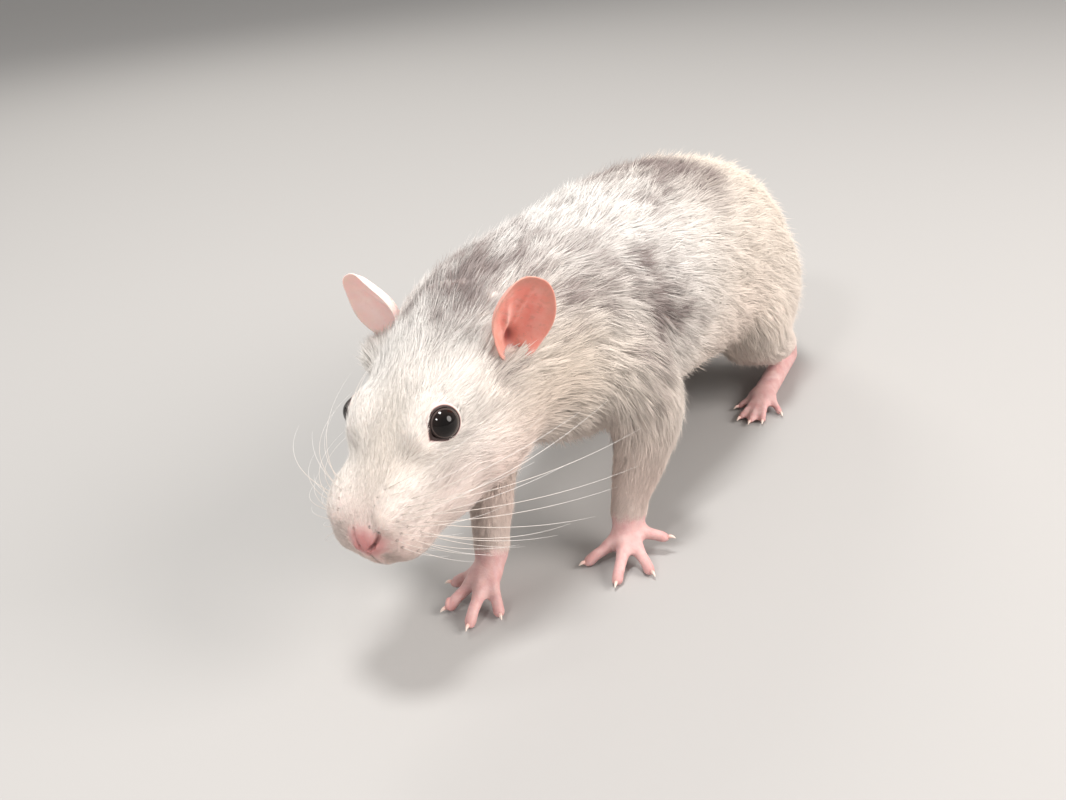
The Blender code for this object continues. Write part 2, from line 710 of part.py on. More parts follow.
def body_nodes(flesh, tail_start, tail_way):
    """Neck, both halves of the torso and the four legs, parted from one flesh."""
    body = thinned("body", flesh, BODY_DETAIL_TRIANGLES)
    sliced(body, tail_start, tail_way, False)
    regions = []
    legs = []
    for word, side in (("left", 1), ("right", -1)):
        hind = (mirrored(HINDLEG_EGG[0], side), *HINDLEG_EGG[1:])
        regions += [FORELEG_EGGS[word], hind]
        legs.append(leg_node(f"foreleg_{word}", body, FORELEG_EGGS[word], WRIST_HEIGHT))
        legs.append(leg_node(f"hindleg_{word}", body, hind, ANKLE_HEIGHT))
    carved(body, [leg_region(spec, GAP) for spec in regions])
    place = head_place()
    behind = place @ (Vector((0, HEAD_CUT_BACK, 0)) * MM)
    sliced(body, behind, place.col[1][:3], True)
    neck_point, neck_way = Vector(NECK_CUT[0]) * MM, NECK_CUT[1]
    waist_point, waist_way = Vector(WAIST_CUT[0]) * MM, WAIST_CUT[1]
    neck = largest_only(sliced(copy_of(body, "neck"), neck_point, neck_way, False))
    front = sliced(copy_of(body, "torso_front"), neck_point, neck_way, True)
    front = largest_only(sliced(front, waist_point, waist_way, False))
    rear = largest_only(sliced(copy_of(body, "torso_rear"), waist_point, waist_way, True))
    bpy.data.objects.remove(body)
    return [neck, front, rear, *legs]


def finish_of(name):
    """The finish of a node by its name."""
    if name.startswith("eye"):
        return "eye_black", EYE_BLACK
    if name.startswith("ear"):
        return "ear_skin", EAR_SKIN
    if name.startswith(("tail", "forepaw", "hindfoot")):
        return "pink_skin", PINK_SKIN
    if name in ("neck", "torso_front"):
        return "grey_coat", GREY_COAT
    return "white_coat", WHITE_COAT


def main():
    for old in list(bpy.data.objects):
        bpy.data.objects.remove(old)
    flesh = evened(joined("flesh", flesh_pieces()), FLESH_VOXEL, FLESH_SMOOTHING)
    tail, tail_start, tail_way = tail_nodes()
    head = head_node(flesh)
    body = body_nodes(flesh, tail_start, tail_way)
    nodes = [head, *body, *tail]
    bpy.data.objects.remove(flesh)
    for word, side in (("left", 1), ("right", -1)):
        nodes += [
            eye_node(word, side),
            ear_node(word, side, (head, body[0])),
            forepaw_node(word, side),
            hindfoot_node(word, side),
        ]
    collection = bpy.data.collections.new("pet_rat")
    bpy.context.scene.collection.children.link(collection)
    for node in nodes:
        node.data.transform(Matrix.Translation(-BOX_MIDDLE))
        node.data.materials.clear()
        node.data.materials.append(material(*finish_of(node.name)))
        node.data.shade_smooth()
        node.data.set_sharp_from_angle(angle=math.radians(40))
        for old in node.users_collection:
            old.objects.unlink(node)
        collection.objects.link(node)


main()
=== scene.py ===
"""The looks of a pet rat, a still, life-size model: one skin, its short coat, eyes, ears and claws.

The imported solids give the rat's outline out to the tips of its coat. The skin is made from them: it
lies inside them by the depth of the coat, and the coat is grown back over it in thin tufts that lie
along the body. Tables are in millimetres, and everything built is in metres, +Z up, with the rat
facing -Y.
"""

import logging
import math
from dataclasses import dataclass, field
from enum import Enum
from typing import Iterable, Sequence, Union

import bmesh
import bpy
import numpy as np
from bpy.types import Material, Mesh, NodeSocket, Object
from mathutils import Matrix, Vector
from mathutils.bvhtree import BVHTree
from mathutils.kdtree import KDTree


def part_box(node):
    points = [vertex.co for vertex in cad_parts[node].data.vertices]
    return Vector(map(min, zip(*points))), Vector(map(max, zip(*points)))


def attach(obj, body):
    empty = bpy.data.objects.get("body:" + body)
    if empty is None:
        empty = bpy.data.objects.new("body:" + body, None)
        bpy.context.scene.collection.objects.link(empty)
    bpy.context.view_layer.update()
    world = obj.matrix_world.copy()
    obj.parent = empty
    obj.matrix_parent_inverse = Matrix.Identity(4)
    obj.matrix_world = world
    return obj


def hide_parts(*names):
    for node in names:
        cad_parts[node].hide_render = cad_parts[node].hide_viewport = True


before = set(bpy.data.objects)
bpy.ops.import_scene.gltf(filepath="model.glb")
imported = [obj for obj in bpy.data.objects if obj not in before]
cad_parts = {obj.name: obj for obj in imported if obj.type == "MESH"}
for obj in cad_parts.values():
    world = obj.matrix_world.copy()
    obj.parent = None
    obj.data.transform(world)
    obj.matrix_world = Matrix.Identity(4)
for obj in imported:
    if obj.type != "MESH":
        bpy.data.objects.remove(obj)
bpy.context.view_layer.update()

# Numbers, one or a row of them for each point, and one spot, way or colour. Points are x, y and z
# in metres of the model, unless something else is said
Rows = np.ndarray
Spot = Sequence[float]

log = logging.getLogger("pet_rat")

MM = 0.001
SEED = 11
BODY_NAME = "root"

# The rat's own frame starts on the floor between its shoulders; the model's starts at the middle of
# its box
BODY = Matrix.Translation(Vector((26.1, -41.0, 0.0)) * MM)

# The head's frame: x to the rat's left, y back from the nose tip, z up
HEAD = (
    BODY
    @ Matrix.Translation(Vector((-6.7, -72.0, 33.0)) * MM)
    @ Matrix.Rotation(math.radians(-3.0), 4, "Z")
    @ Matrix.Rotation(math.radians(24.6), 4, "X")
    @ Matrix.Rotation(math.radians(-4.6), 4, "Y")
)


class Side(Enum):
    """The rat's own left, towards +X, and its right."""

    LEFT = 1
    RIGHT = -1

    @property
    def word(self) -> str:
        """The side's name in lower case, as the nodes have it."""
        return self.name.lower()

    def of(self, spot: Spot) -> tuple[float, ...]:
        """A place of the left side, or its twin on the right."""
        return (spot[0] * self.value, *spot[1:])


class Region(Enum):
    """The stretches of skin, with the names that the solids' nodes start with."""

    HEAD = "head"
    NECK = "neck"
    SHOULDERS = "torso_front"
    RUMP = "torso_rear"
    FORELEG = "foreleg"
    HINDLEG = "hindleg"
    FOREPAW = "forepaw"
    HINDFOOT = "hindfoot"
    TAIL = "tail"

    @property
    def bare(self) -> bool:
        """Whether this stretch has no coat."""
        return self in BARE

    @property
    def number(self) -> int:
        """Its number, as the skin keeps it for each point."""
        return REGIONS.index(self)


REGIONS = list(Region)
PAWS = (Region.FOREPAW, Region.HINDFOOT)
BARE = (*PAWS, Region.TAIL)


def placed(points: Rows, frame_of: Matrix) -> Rows:
    """Points in millimetres of a frame, as metres of the model.

    Args:
        points: the points.
        frame_of: the matrix of the frame.

    Returns:
        Rows of x, y, z in metres.
    """
    matrix = np.array(frame_of)
    return np.asarray(points, float) * MM @ matrix[:3, :3].T + matrix[:3, 3]


def seen_from(points: Rows, frame_of: Matrix) -> Rows:
    """Points of the model in metres, as millimetres of a frame.

    Args:
        points: the points.
        frame_of: the matrix of the frame.

    Returns:
        Rows of x, y, z in millimetres.
    """
    matrix = np.array(frame_of.inverted())
    return (points @ matrix[:3, :3].T + matrix[:3, 3]) / MM


def unit(rows: Rows) -> Rows:
    """Rows of a vector each, made one long."""
    return rows / np.maximum(np.linalg.norm(rows, axis=-1, keepdims=True), 1e-12)


def rise(value: Rows, low: float, high: float) -> Rows:
    """0 below low, 1 above high and a soft rise between."""
    t = np.clip((value - low) / (high - low), 0, 1)
    return t * t * (3 - 2 * t)


def fall(value: Rows, low: float, high: float) -> Rows:
    """1 below low, 0 above high and a soft fall between."""
    return 1 - rise(value, low, high)


def lengths(rows: Rows) -> Rows:
    """How long each row's vector is."""
    return np.linalg.norm(rows, axis=1)


def curve_through(rows: Sequence[Spot], count: int) -> Rows:
    """A smooth line through rows of numbers, resampled evenly.

    Args:
        rows: x, y, z and any more numbers, such as a radius.
        count: how many rows to return.

    Returns:
        The resampled rows.
    """
    table = np.asarray(rows, float)
    steps = lengths(np.diff(table[:, :3], axis=0))
    keys = np.concatenate([[0], np.cumsum(steps)])
    wanted = np.linspace(0, keys[-1], count)
    slopes = np.diff(table, axis=0) / steps[:, None]
    tangents = np.vstack([slopes[:1], (slopes[1:] + slopes[:-1]) / 2, slopes[-1:]])
    cell = np.clip(np.searchsorted(keys, wanted, side="right") - 1, 0, len(keys) - 2)
    t = ((wanted - keys[cell]) / steps[cell])[:, None]
    width = steps[cell][:, None]
    return (
        (2 * t**3 - 3 * t**2 + 1) * table[cell]
        + (t**3 - 2 * t**2 + t) * width * tangents[cell]
        + (3 * t**2 - 2 * t**3) * table[cell + 1]
        + (t**3 - t**2) * width * tangents[cell + 1]
    )


def body_line(rows: Sequence[Spot], count: int) -> Rows:
    """A smooth line through rows of the body's millimetres.

    Args:
        rows: x, y, z and radius.
        count: how many rows to return.

    Returns:
        Rows of x, y, z and radius in metres of the model.
    """
    line = curve_through(rows, count)
    line[:, :3] = placed(line[:, :3], BODY)
    line[:, 3] *= MM
    return line


def round_grid(wide: Rows, high: Rows, corners: int) -> Rows:
    """Level rings of points about the z axis.

    Args:
        wide: the radius of each ring.
        high: the height of each ring.
        corners: how many points a ring has.

    Returns:
        An array of rings by corners by 3.
    """
    around = np.linspace(0, 2 * math.pi, corners, endpoint=False)
    flat = np.ones(corners)
    return np.stack(
        [np.outer(wide, np.cos(around)), np.outer(wide, np.sin(around)), np.outer(high, flat)],
        axis=-1,
    )


# How far from its middle, in degrees, an ellipsoid's last ring stands
LAST_RING = 87


@dataclass
class Form:
    """A closed shape as points in metres and triangles between them."""

    points: Rows
    triangles: Rows

    @staticmethod
    def rings(points: Rows) -> "Form":
        """A closed shape through rings of points, with its two ends filled.

        Args:
            points: an array of rings by corners by 3.

        Returns:
            The shape.
        """
        count, corners = points.shape[:2]
        low = np.arange((count - 1) * corners)
        beside = (low // corners) * corners + (low % corners + 1) % corners
        walls = [
            np.column_stack([low, beside, beside + corners]),
            np.column_stack([low, beside + corners, low + corners]),
        ]
        first, last = count * corners, count * corners + 1
        edge = np.arange(corners)
        beside = (edge + 1) % corners
        top = (count - 1) * corners
        walls.append(np.column_stack([beside, edge, np.full(corners, first)]))
        walls.append(np.column_stack([edge + top, beside + top, np.full(corners, last)]))
        middles = [points[0].mean(0), points[-1].mean(0)]
        return Form(np.vstack([points.reshape(-1, 3), middles]), np.vstack(walls))

    @staticmethod
    def tube(line: Rows, corners: int, flat: float = 1.0) -> "Form":
        """A tapered tube along a line, turned as little as possible on its way.

        Args:
            line: rows of x, y, z and radius in metres.
            corners: how many sides the tube has.
            flat: how high the tube is for its width.

        Returns:
            The tube with closed ends.
        """
        spots, radii = line[:, :3], line[:, 3]
        ways = unit(np.gradient(spots, axis=0))
        side = np.cross(ways[0], (0.0, 0.0, 1.0))
        if np.linalg.norm(side) < 0.1:
            side = np.cross(ways[0], (0.0, 1.0, 0.0))
        angles = np.linspace(0, 2 * math.pi, corners, endpoint=False)
        rings = []
        for spot, way, radius in zip(spots, ways, radii):
            side = side - way * (side @ way)
            side = side / np.linalg.norm(side)
            other = np.cross(way, side) * flat
            around = np.cos(angles)[:, None] * side + np.sin(angles)[:, None] * other
            rings.append(spot + around * radius)
        return Form.rings(np.array(rings))

    @staticmethod
    def egg(centre: Spot, radii: Spot, turn: Matrix, fine: int = 18) -> "Form":
        """An ellipsoid.

        Args:
            centre: its middle in millimetres of the frame.
            radii: its three radii in millimetres.
            turn: the matrix of the frame.
            fine: how many rings it has.

        Returns:
            The ellipsoid.
        """
        tall = np.linspace(-1, 1, fine) * math.radians(LAST_RING)
        ball = round_grid(np.cos(tall), np.sin(tall), 2 * fine)
        spots = ball.reshape(-1, 3) * np.asarray(radii) + np.asarray(centre)
        return Form.rings(placed(spots, turn).reshape(ball.shape))

    @staticmethod
    def joined(forms: Iterable["Form"]) -> "Form":
        """Several shapes as one, each still closed on its own.

        Args:
            forms: the shapes.

        Returns:
            The one shape.
        """
        forms = list(forms)
        starts = np.cumsum([0] + [len(form.points) for form in forms[:-1]])
        return Form(
            np.vstack([form.points for form in forms]),
            np.vstack([form.triangles + start for form, start in zip(forms, starts)]),
        )


def mesh_from(name: str, points: Rows, faces: Rows) -> Mesh:
    """A smooth-shaded mesh from arrays.

    Args:
        name: the mesh's name.
        points: the points.
        faces: rows of point numbers, all of one length.

    Returns:
        The mesh.
    """
    mesh = bpy.data.meshes.new(name)
    mesh.vertices.add(len(points))
    mesh.vertices.foreach_set("co", np.asarray(points, np.float32).ravel())
    mesh.loops.add(faces.size)
    mesh.loops.foreach_set("vertex_index", faces.astype(np.int32).ravel())
    mesh.polygons.add(len(faces))
    starts = np.arange(0, faces.size, faces.shape[1], dtype=np.int32)
    mesh.polygons.foreach_set("loop_start", starts)
    mesh.update(calc_edges=True)
    mesh.shade_smooth()
    return mesh


def in_scene(name: str, data: bpy.types.ID) -> Object:
    """A mesh, a light or a camera as an object of the scene.

    Args:
        name: the object's name.
        data: the mesh, light or camera.

    Returns:
        The object.
    """
    made = bpy.data.objects.new(name, data)
    bpy.context.scene.collection.objects.link(made)
    return made


def applied(piece: Object) -> None:
    """Gives a piece the mesh that its modifiers make of it, and drops them.

    Args:
        piece: the piece.
    """
    graph = bpy.context.evaluated_depsgraph_get()
    made = bpy.data.meshes.new_from_object(piece.evaluated_get(graph))
    piece.modifiers.clear()
    piece.vertex_groups.clear()
    piece.data = made


def settled(piece: Object, slot: str, *nodes: str) -> Object:
    """Puts a finished piece on the rat's one body.

    Args:
        piece: the piece.
        slot: not used.
        nodes: the solids' nodes that it stands for.

    Returns:
        The piece.
    """
    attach(piece, BODY_NAME)
    if nodes:
        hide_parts(*nodes)
    return piece


def paint(mesh: Mesh, name: str, values: Rows) -> None:
    """Keeps a number or a vector for each point of a mesh, for its material to read.

    Args:
        mesh: the mesh.
        name: the attribute's name.
        values: one number, or a row of three, for each point.
    """
    kind, key = ("FLOAT", "value") if values.ndim == 1 else ("FLOAT_VECTOR", "vector")
    layer = mesh.attributes.new(name, kind, "POINT")
    layer.data.foreach_set(key, np.asarray(values, np.float32).ravel())


def rows_of(items: bpy.types.bpy_prop_collection, key: str, kind: type, width: int) -> Rows:
    """The numbers that a mesh keeps for its points, edges or triangles.

    Args:
        items: the points, edges or triangles.
        key: what is read of each.
        kind: the numbers' type.
        width: how many numbers each has.

    Returns:
        One row for each item.
    """
    rows = np.empty(len(items) * width, kind)
    items.foreach_get(key, rows)
    return rows.reshape(-1, width)


def points_of(mesh: Mesh) -> Rows:
    """The points of a mesh as rows of x, y, z."""
    return rows_of(mesh.vertices, "co", np.float32, 3).astype(float)


def normals_of(mesh: Mesh) -> Rows:
    """The smooth normal at each point of a mesh."""
    return rows_of(mesh.vertex_normals, "vector", np.float32, 3).astype(float)


def edges_of(mesh: Mesh) -> Rows:
    """The two point numbers of each edge of a mesh."""
    return rows_of(mesh.edges, "vertices", np.int32, 2)


def triangles_of(mesh: Mesh) -> Rows:
    """The three point numbers of each triangle of a mesh."""
    mesh.calc_loop_triangles()
    return rows_of(mesh.loop_triangles, "vertices", np.int32, 3)


def move_points(mesh: Mesh, points: Rows) -> None:
    """Gives a mesh new places for its points."""
    mesh.vertices.foreach_set("co", np.asarray(points, np.float32).ravel())
    mesh.update()


def relaxed(points: Rows, edges: Rows, share: Rows, times: int) -> Rows:
    """Points drawn towards the middle of their neighbours.

    Args:
        points: the points.
        edges: pairs of point numbers.
        share: how far each point goes each time, from 0 to 1.
        times: how often.

    Returns:
        The new points.
    """
    count = len(points)
    ends = np.concatenate([edges[:, 0], edges[:, 1]])
    others = np.concatenate([edges[:, 1], edges[:, 0]])
    near = np.maximum(np.bincount(ends, minlength=count), 1)
    for _ in range(times):
        middle = np.column_stack([
            np.bincount(ends, weights=points[others, axis], minlength=count) / near
            for axis in range(3)
        ])
        points = points + (middle - points) * share[:, None]
    return points


class Number:
    """A value of a material's node tree, which Python's own operators work on."""

    def __init__(self, tree: "Tree", socket: NodeSocket) -> None:
        """Wraps a socket that carries a value."""
        self.tree = tree
        self.socket = socket

    def _math(self, operation: str, first: "Source", second: "Source") -> "Number":
        """One Math node on two values."""
        return self.tree.node("ShaderNodeMath", {"operation": operation}, {0: first, 1: second})

    def __add__(self, other: "Source") -> "Number":
        """This plus another."""
        return self._math("ADD", self, other)

    __radd__ = __add__

    def __sub__(self, other: "Source") -> "Number":
        """This less another."""
        return self._math("SUBTRACT", self, other)

    def __rsub__(self, other: "Source") -> "Number":
        """Another less this."""
        return self._math("SUBTRACT", other, self)

    def __mul__(self, other: "Source") -> "Number":
        """This times another."""
        return self._math("MULTIPLY", self, other)

    __rmul__ = __mul__

    def ramp(self, low: float, high: float) -> "Number":
        """0 below low, 1 above high and a soft rise between."""
        sources = {"Value": self, "From Min": low, "From Max": high}
        return self.tree.node("ShaderNodeMapRange", {"interpolation_type": "SMOOTHSTEP"}, sources)

    def wave(self) -> "Number":
        """The sine of this value."""
        return self.tree.node("ShaderNodeMath", {"operation": "SINE"}, {0: self})


Source = Union[Number, float, Spot]


class Tree:
    """The node tree of one new material with a Principled shader."""

    def __init__(self, name: str, constants: dict[str, Source]) -> None:
        """Makes the material.

        Args:
            name: its name.
            constants: values for the shader's own sockets, the same all over the surface.
        """
        self.material = bpy.data.materials.new(name)
        self.material.use_nodes = True
        self.shader = self.material.node_tree.nodes["Principled BSDF"]
        for socket, value in constants.items():
            self.feed(self.shader.inputs[socket], value)

    def feed(self, socket: NodeSocket, source: Source) -> None:
        """Links a value to a socket, or sets it there.

        Args:
            socket: the socket.
            source: the value, or the number to set.
        """
        if isinstance(source, Number):
            self.material.node_tree.links.new(source.socket, socket)
        elif isinstance(source, (tuple, list)) and socket.type == "RGBA":
            socket.default_value = (*source[:3], 1)
        else:
            socket.default_value = source

    def node(
        self,
        kind: str,
        settings: dict[str, object],
        sources: dict[Union[str, int], Source],
        output: Union[str, int] = 0,
    ) -> Number:
        """Any one node.

        Args:
            kind: the node's type.
            settings: its own properties, set first.
            sources: values or links for its sockets.
            output: the socket to return.

        Returns:
            The value at that output.
        """
        made = self.material.node_tree.nodes.new(kind)
        for key, value in settings.items():
            setattr(made, key, value)
        for key, source in sources.items():
            self.feed(made.inputs[key], source)
        return Number(self, made.outputs[output])

    def painted(self, name: str) -> Number:
        """A number kept on the mesh."""
        return self.node("ShaderNodeAttribute", {"attribute_name": name}, {}, "Fac")

    def root(self) -> Number:
        """Where each point grows, in millimetres, as the mesh keeps it."""
        return self.node("ShaderNodeAttribute", {"attribute_name": "root"}, {}, "Vector")

    def noise(self, place: Number, scale: float, detail: float, rough: float) -> Number:
        """Soft noise over a place, from 0 to 1."""
        sources = {"Vector": place, "Scale": scale, "Detail": detail, "Roughness": rough}
        return self.node("ShaderNodeTexNoise", {}, sources)

    def stretched(self, place: Number, by: Spot) -> Number:
        """A place with each of its axes scaled."""
        settings = {"operation": "MULTIPLY"}
        return self.node("ShaderNodeVectorMath", settings, {0: place, 1: by})

    def mix(self, share: Source, first: Source, second: Source, blend: str = "MIX") -> Number:
        """Two colours mixed by a share of the second."""
        settings = {"data_type": "RGBA", "blend_type": blend}
        return self.node("ShaderNodeMix", settings, {0: share, 6: first, 7: second}, 2)

    def bump(self, height: Number, strength: float, distance: float) -> Number:
        """A normal from a height, whose full step is a distance in metres."""
        sources = {"Height": height, "Strength": strength, "Distance": distance}
        return self.node("ShaderNodeBump", {}, sources)

    def shade(self, **sources: Source) -> Material:
        """Feeds the shader's sockets, whose names have _ for a space, and returns the material.

        Args:
            sources: what feeds each socket.

        Returns:
            The material.
        """
        for name, source in sources.items():
            self.feed(self.shader.inputs[name.replace("_", " ")], source)
        return self.material


@dataclass(frozen=True)
class CoatColours:
    """The colours of the hair, the same for the coat and for the skin under it."""

    snow: tuple = (0.95, 0.93, 0.905)
    cream: tuple = (0.91, 0.78, 0.65)
    slate: tuple = (0.26, 0.21, 0.20)
    # Pink skin showing through, also used for a painted warm reflection on the flanks
    blush_and_painted_reflection: tuple = (0.88, 0.68, 0.61)

    def over(self, tree: Tree, tone: Source) -> Number:
        """The coat's colour from what the mesh keeps of its markings.

        Args:
            tree: the material's tree.
            tone: a number from 0 to 1 that varies from hair to hair.

        Returns:
            The colour.
        """
        root = tree.root()
        mottle = tree.noise(root, 0.19, 3.0, 0.6)
        streak = tree.noise(tree.stretched(root, (1.0, 0.45, 0.8)), 0.7, 2.0, 0.55)
        amount = tree.painted("grey") * 1.25 + (mottle - 0.5) * 1.9 + (streak - 0.5) * 0.9
        amount = amount + (tone - 0.5) * 0.45
        mask = amount.ramp(0.20, 1.20) * tree.painted("grey").ramp(0.02, 0.2)
        white = tree.mix(tree.painted("warm"), self.snow, self.cream)
        # Pink where skin shows through, and on the flanks a painted warm reflection
        white = tree.mix(tree.painted("blush_and_painted_reflection"), white, self.blush_and_painted_reflection)
        return tree.mix(mask, white, self.slate)


@dataclass(frozen=True)
class CoatFinish:
    """The hair itself: soft, dry and slightly shiny, with painted shade towards each tuft's root."""

    colours: CoatColours = CoatColours()
    roughness: float = 0.55

    def material(self) -> Material:
        """The coat's material.

        Returns:
            The material.
        """
        tree = Tree("coat", {"Roughness": self.roughness, "Specular IOR Level": 0.25})
        tone = tree.painted("tone")
        hair = self.colours.over(tree, tone)
        # Painted shade: each tuft is darker towards its root, where the tufts shade each other
        depth = 0.72 + tree.painted("reach").ramp(0.0, 0.8) * 0.28
        shade = depth * (0.80 + tone * 0.22)
        grey = tree.node("ShaderNodeCombineColor", {}, {0: shade, 1: shade, 2: shade})
        return tree.shade(Base_Color=tree.mix(1.0, hair, grey, "MULTIPLY"))


@dataclass(frozen=True)
class SkinFinish:
    """The skin: pink where it is bare, and where hair covers it the coat's colours darkened by a
    painted shade.
    """

    colours: CoatColours = CoatColours()
    pink: tuple = (0.62, 0.37, 0.36)
    flushed: tuple = (0.43, 0.17, 0.165)
    pale: tuple = (0.70, 0.49, 0.47)
    rim: tuple = (0.035, 0.018, 0.016)
    pit: tuple = (0.14, 0.09, 0.08)
    # A painted shade over the skin that the coat covers
    shade_under_coat: tuple = (0.80, 0.77, 0.76)

    def material(self) -> Material:
        """The skin's material.

        Returns:
            The material.
        """
        tree = Tree(
            "skin",
            {
                "Specular IOR Level": 0.4,
                "Subsurface Weight": 0.15,
                "Subsurface Radius": (1.0, 0.35, 0.2),
                "Subsurface Scale": 0.0012,
            },
        )
        root = tree.root()
        blotch = tree.noise(root, 0.45, 3.0, 0.6)
        grain = tree.noise(root, 3.2, 3.0, 0.6)
        bare = tree.mix(blotch.ramp(0.3, 0.75), self.pale, self.pink)
        bare = tree.mix(tree.painted("flush") * (0.75 + blotch * 0.5), bare, self.flushed)
        covered = tree.mix(0.06, self.colours.over(tree, 0.5), self.pink)
        # Painted shade: the skin under the coat is darkened to match the tufts' shaded roots
        covered = tree.mix(1.0, covered, self.shade_under_coat, "MULTIPLY")
        colour = tree.mix(tree.painted("fur"), bare, covered)
        # Dark dots at the whiskers' pits, and painted shade in the nostrils' slits
        colour = tree.mix(tree.painted("pit"), colour, self.pit)
        colour = tree.mix(tree.painted("rim"), colour, self.rim)
        rings = (tree.painted("ring") * (2 * math.pi)).wave() * tree.painted("ringed")
        wrinkle = tree.noise(tree.stretched(root, (0.7, 1.6, 1.0)), 1.9, 2.0, 0.6)
        height = grain * 0.5 + wrinkle * 0.8 + rings * 0.5
        bump = tree.bump(height, 0.55, 0.00012)
        rough = 0.42 + grain * 0.2
        return tree.shade(Base_Color=colour, Roughness=rough, Normal=bump)


@dataclass(frozen=True)
class EarFinish:
    """An ear's thin skin, coral where light comes through it and browner at the rim."""

    side: Side
    coral: tuple = (0.80, 0.31, 0.25)
    pale: tuple = (0.86, 0.54, 0.48)
    dusk: tuple = (0.52, 0.29, 0.23)
    # The painted shade in the hollow of the cup
    hollow_shade: tuple = (0.30, 0.07, 0.06)

    def material(self) -> Material:
        """The ears' material.

        Returns:
            The material.
        """
        tree = Tree(
            f"ear_{self.side.word}",
            {
                "Specular IOR Level": 0.35,
                "Subsurface Weight": 0.35,
                "Subsurface Radius": (1.0, 0.30, 0.22),
                "Subsurface Scale": 0.0016,
            },
        )
        root = tree.root()
        cloud = tree.noise(root, 0.35, 3.0, 0.6)
        vein = tree.noise(tree.stretched(root, (1.0, 1.0, 0.5)), 0.9, 4.0, 0.65)
        colour = tree.mix(cloud.ramp(0.35, 0.7) * 0.45, self.coral, self.pale)
        colour = tree.mix(tree.painted("dusk"), colour, self.dusk)
        # A painted highlight along the fold inside the cup
        colour = tree.mix(tree.painted("pale"), colour, self.pale)
        colour = tree.mix((0.5 - vein).ramp(0.04, 0.12) * 0.35, colour, self.dusk)
        # Painted shade in the hollow of the cup
        colour = tree.mix(tree.painted("hollow_shade"), colour, self.hollow_shade)
        height = vein * 0.6 + tree.noise(root, 4.0, 2.0, 0.6) * 0.4
        return tree.shade(
            Base_Color=colour,
            Roughness=0.48 + cloud * 0.15,
            Normal=tree.bump(height, 0.35, 0.00012),
        )


# The photograph shows the right ear paler
EAR_FINISHES = {
    Side.LEFT: EarFinish(Side.LEFT),
    # The right ear's paler colours are painted light: it is lit more strongly through its thin skin
    Side.RIGHT: EarFinish(
        Side.RIGHT,
        coral=(0.93, 0.68, 0.64),
        pale=(0.96, 0.80, 0.77),
        dusk=(0.86, 0.64, 0.60),
        hollow_shade=(0.66, 0.3, 0.26),
    ),
}


@dataclass(frozen=True)
class EyeFinish:
    """The eyeball: black, with a faint brown ring inside the lids."""

    pupil: tuple = (0.003, 0.002, 0.002)
    iris: tuple = (0.012, 0.007, 0.006)
    ring: tuple = (0.09, 0.065, 0.06)

    def material(self) -> Material:
        """The eyes' material.

        Returns:
            The material.
        """
        tree = Tree("eye", {"IOR": 1.36})
        out = tree.painted("out")
        fleck = tree.noise(tree.root(), 2.2, 3.0, 0.7)
        colour = tree.mix(out.ramp(0.25, 0.72) * (0.4 + fleck), self.pupil, self.iris)
        edge = out.ramp(0.70, 0.74) * (1 - out.ramp(0.76, 0.80))
        colour = tree.mix(edge * (0.5 + fleck * 0.5), colour, self.ring)
        return tree.shade(Base_Color=colour, Roughness=0.02 + fleck * 0.03)


@dataclass(frozen=True)
class HornFinish:
    """A claw or a whisker: pale and slightly clear."""

    name: str
    base: tuple
    tip: tuple
    roughness: float = 0.35

    def material(self) -> Material:
        """The material, which changes from root to tip.

        Returns:
            The material.
        """
        tree = Tree(self.name, {"Specular IOR Level": 0.5})
        reach = tree.painted("reach")
        grain = tree.noise(tree.root(), 2.5, 2.0, 0.5)
        colour = tree.mix(reach.ramp(0.1, 0.9), self.base, self.tip)
        colour = tree.mix(grain * 0.2, colour, self.tip)
        return tree.shade(Base_Color=colour, Roughness=self.roughness + grain * 0.15)


CLAW_HORN = HornFinish("claw", (0.74, 0.46, 0.41), (0.80, 0.68, 0.60))
WHISKER_HORN = HornFinish("whisker", (0.62, 0.54, 0.48), (0.93, 0.91, 0.89))


def horn(name: str, tubes: list[Form], steps: int, finish: HornFinish) -> Object:
    """Claws or whiskers as one piece that keeps how far along its own tube each point is.

    Args:
        name: the piece's name.
        tubes: the tubes, all of one make.
        steps: how many rings a tube has.
        finish: their finish.

    Returns:
        The piece.
    """
    form = Form.joined(tubes)
    mesh = mesh_from(name, form.points, form.triangles)
    corners = (len(tubes[0].points) - 2) // steps
    reach = np.append(np.repeat(np.linspace(0, 1, steps), corners), (0, 1))
    paint(mesh, "reach", np.tile(reach, len(tubes)))
    paint(mesh, "root", form.points / MM)
    mesh.materials.append(finish.material())
    return in_scene(name, mesh)


@dataclass(frozen=True)
class FloorFinish:
    """A plain pale floor."""

    colour: tuple = (0.40, 0.395, 0.39)

    def material(self) -> Material:
        """The floor's material."""
        tree = Tree("floor", {"Specular IOR Level": 0.2})
        return tree.shade(Base_Color=self.colour, Roughness=0.8)


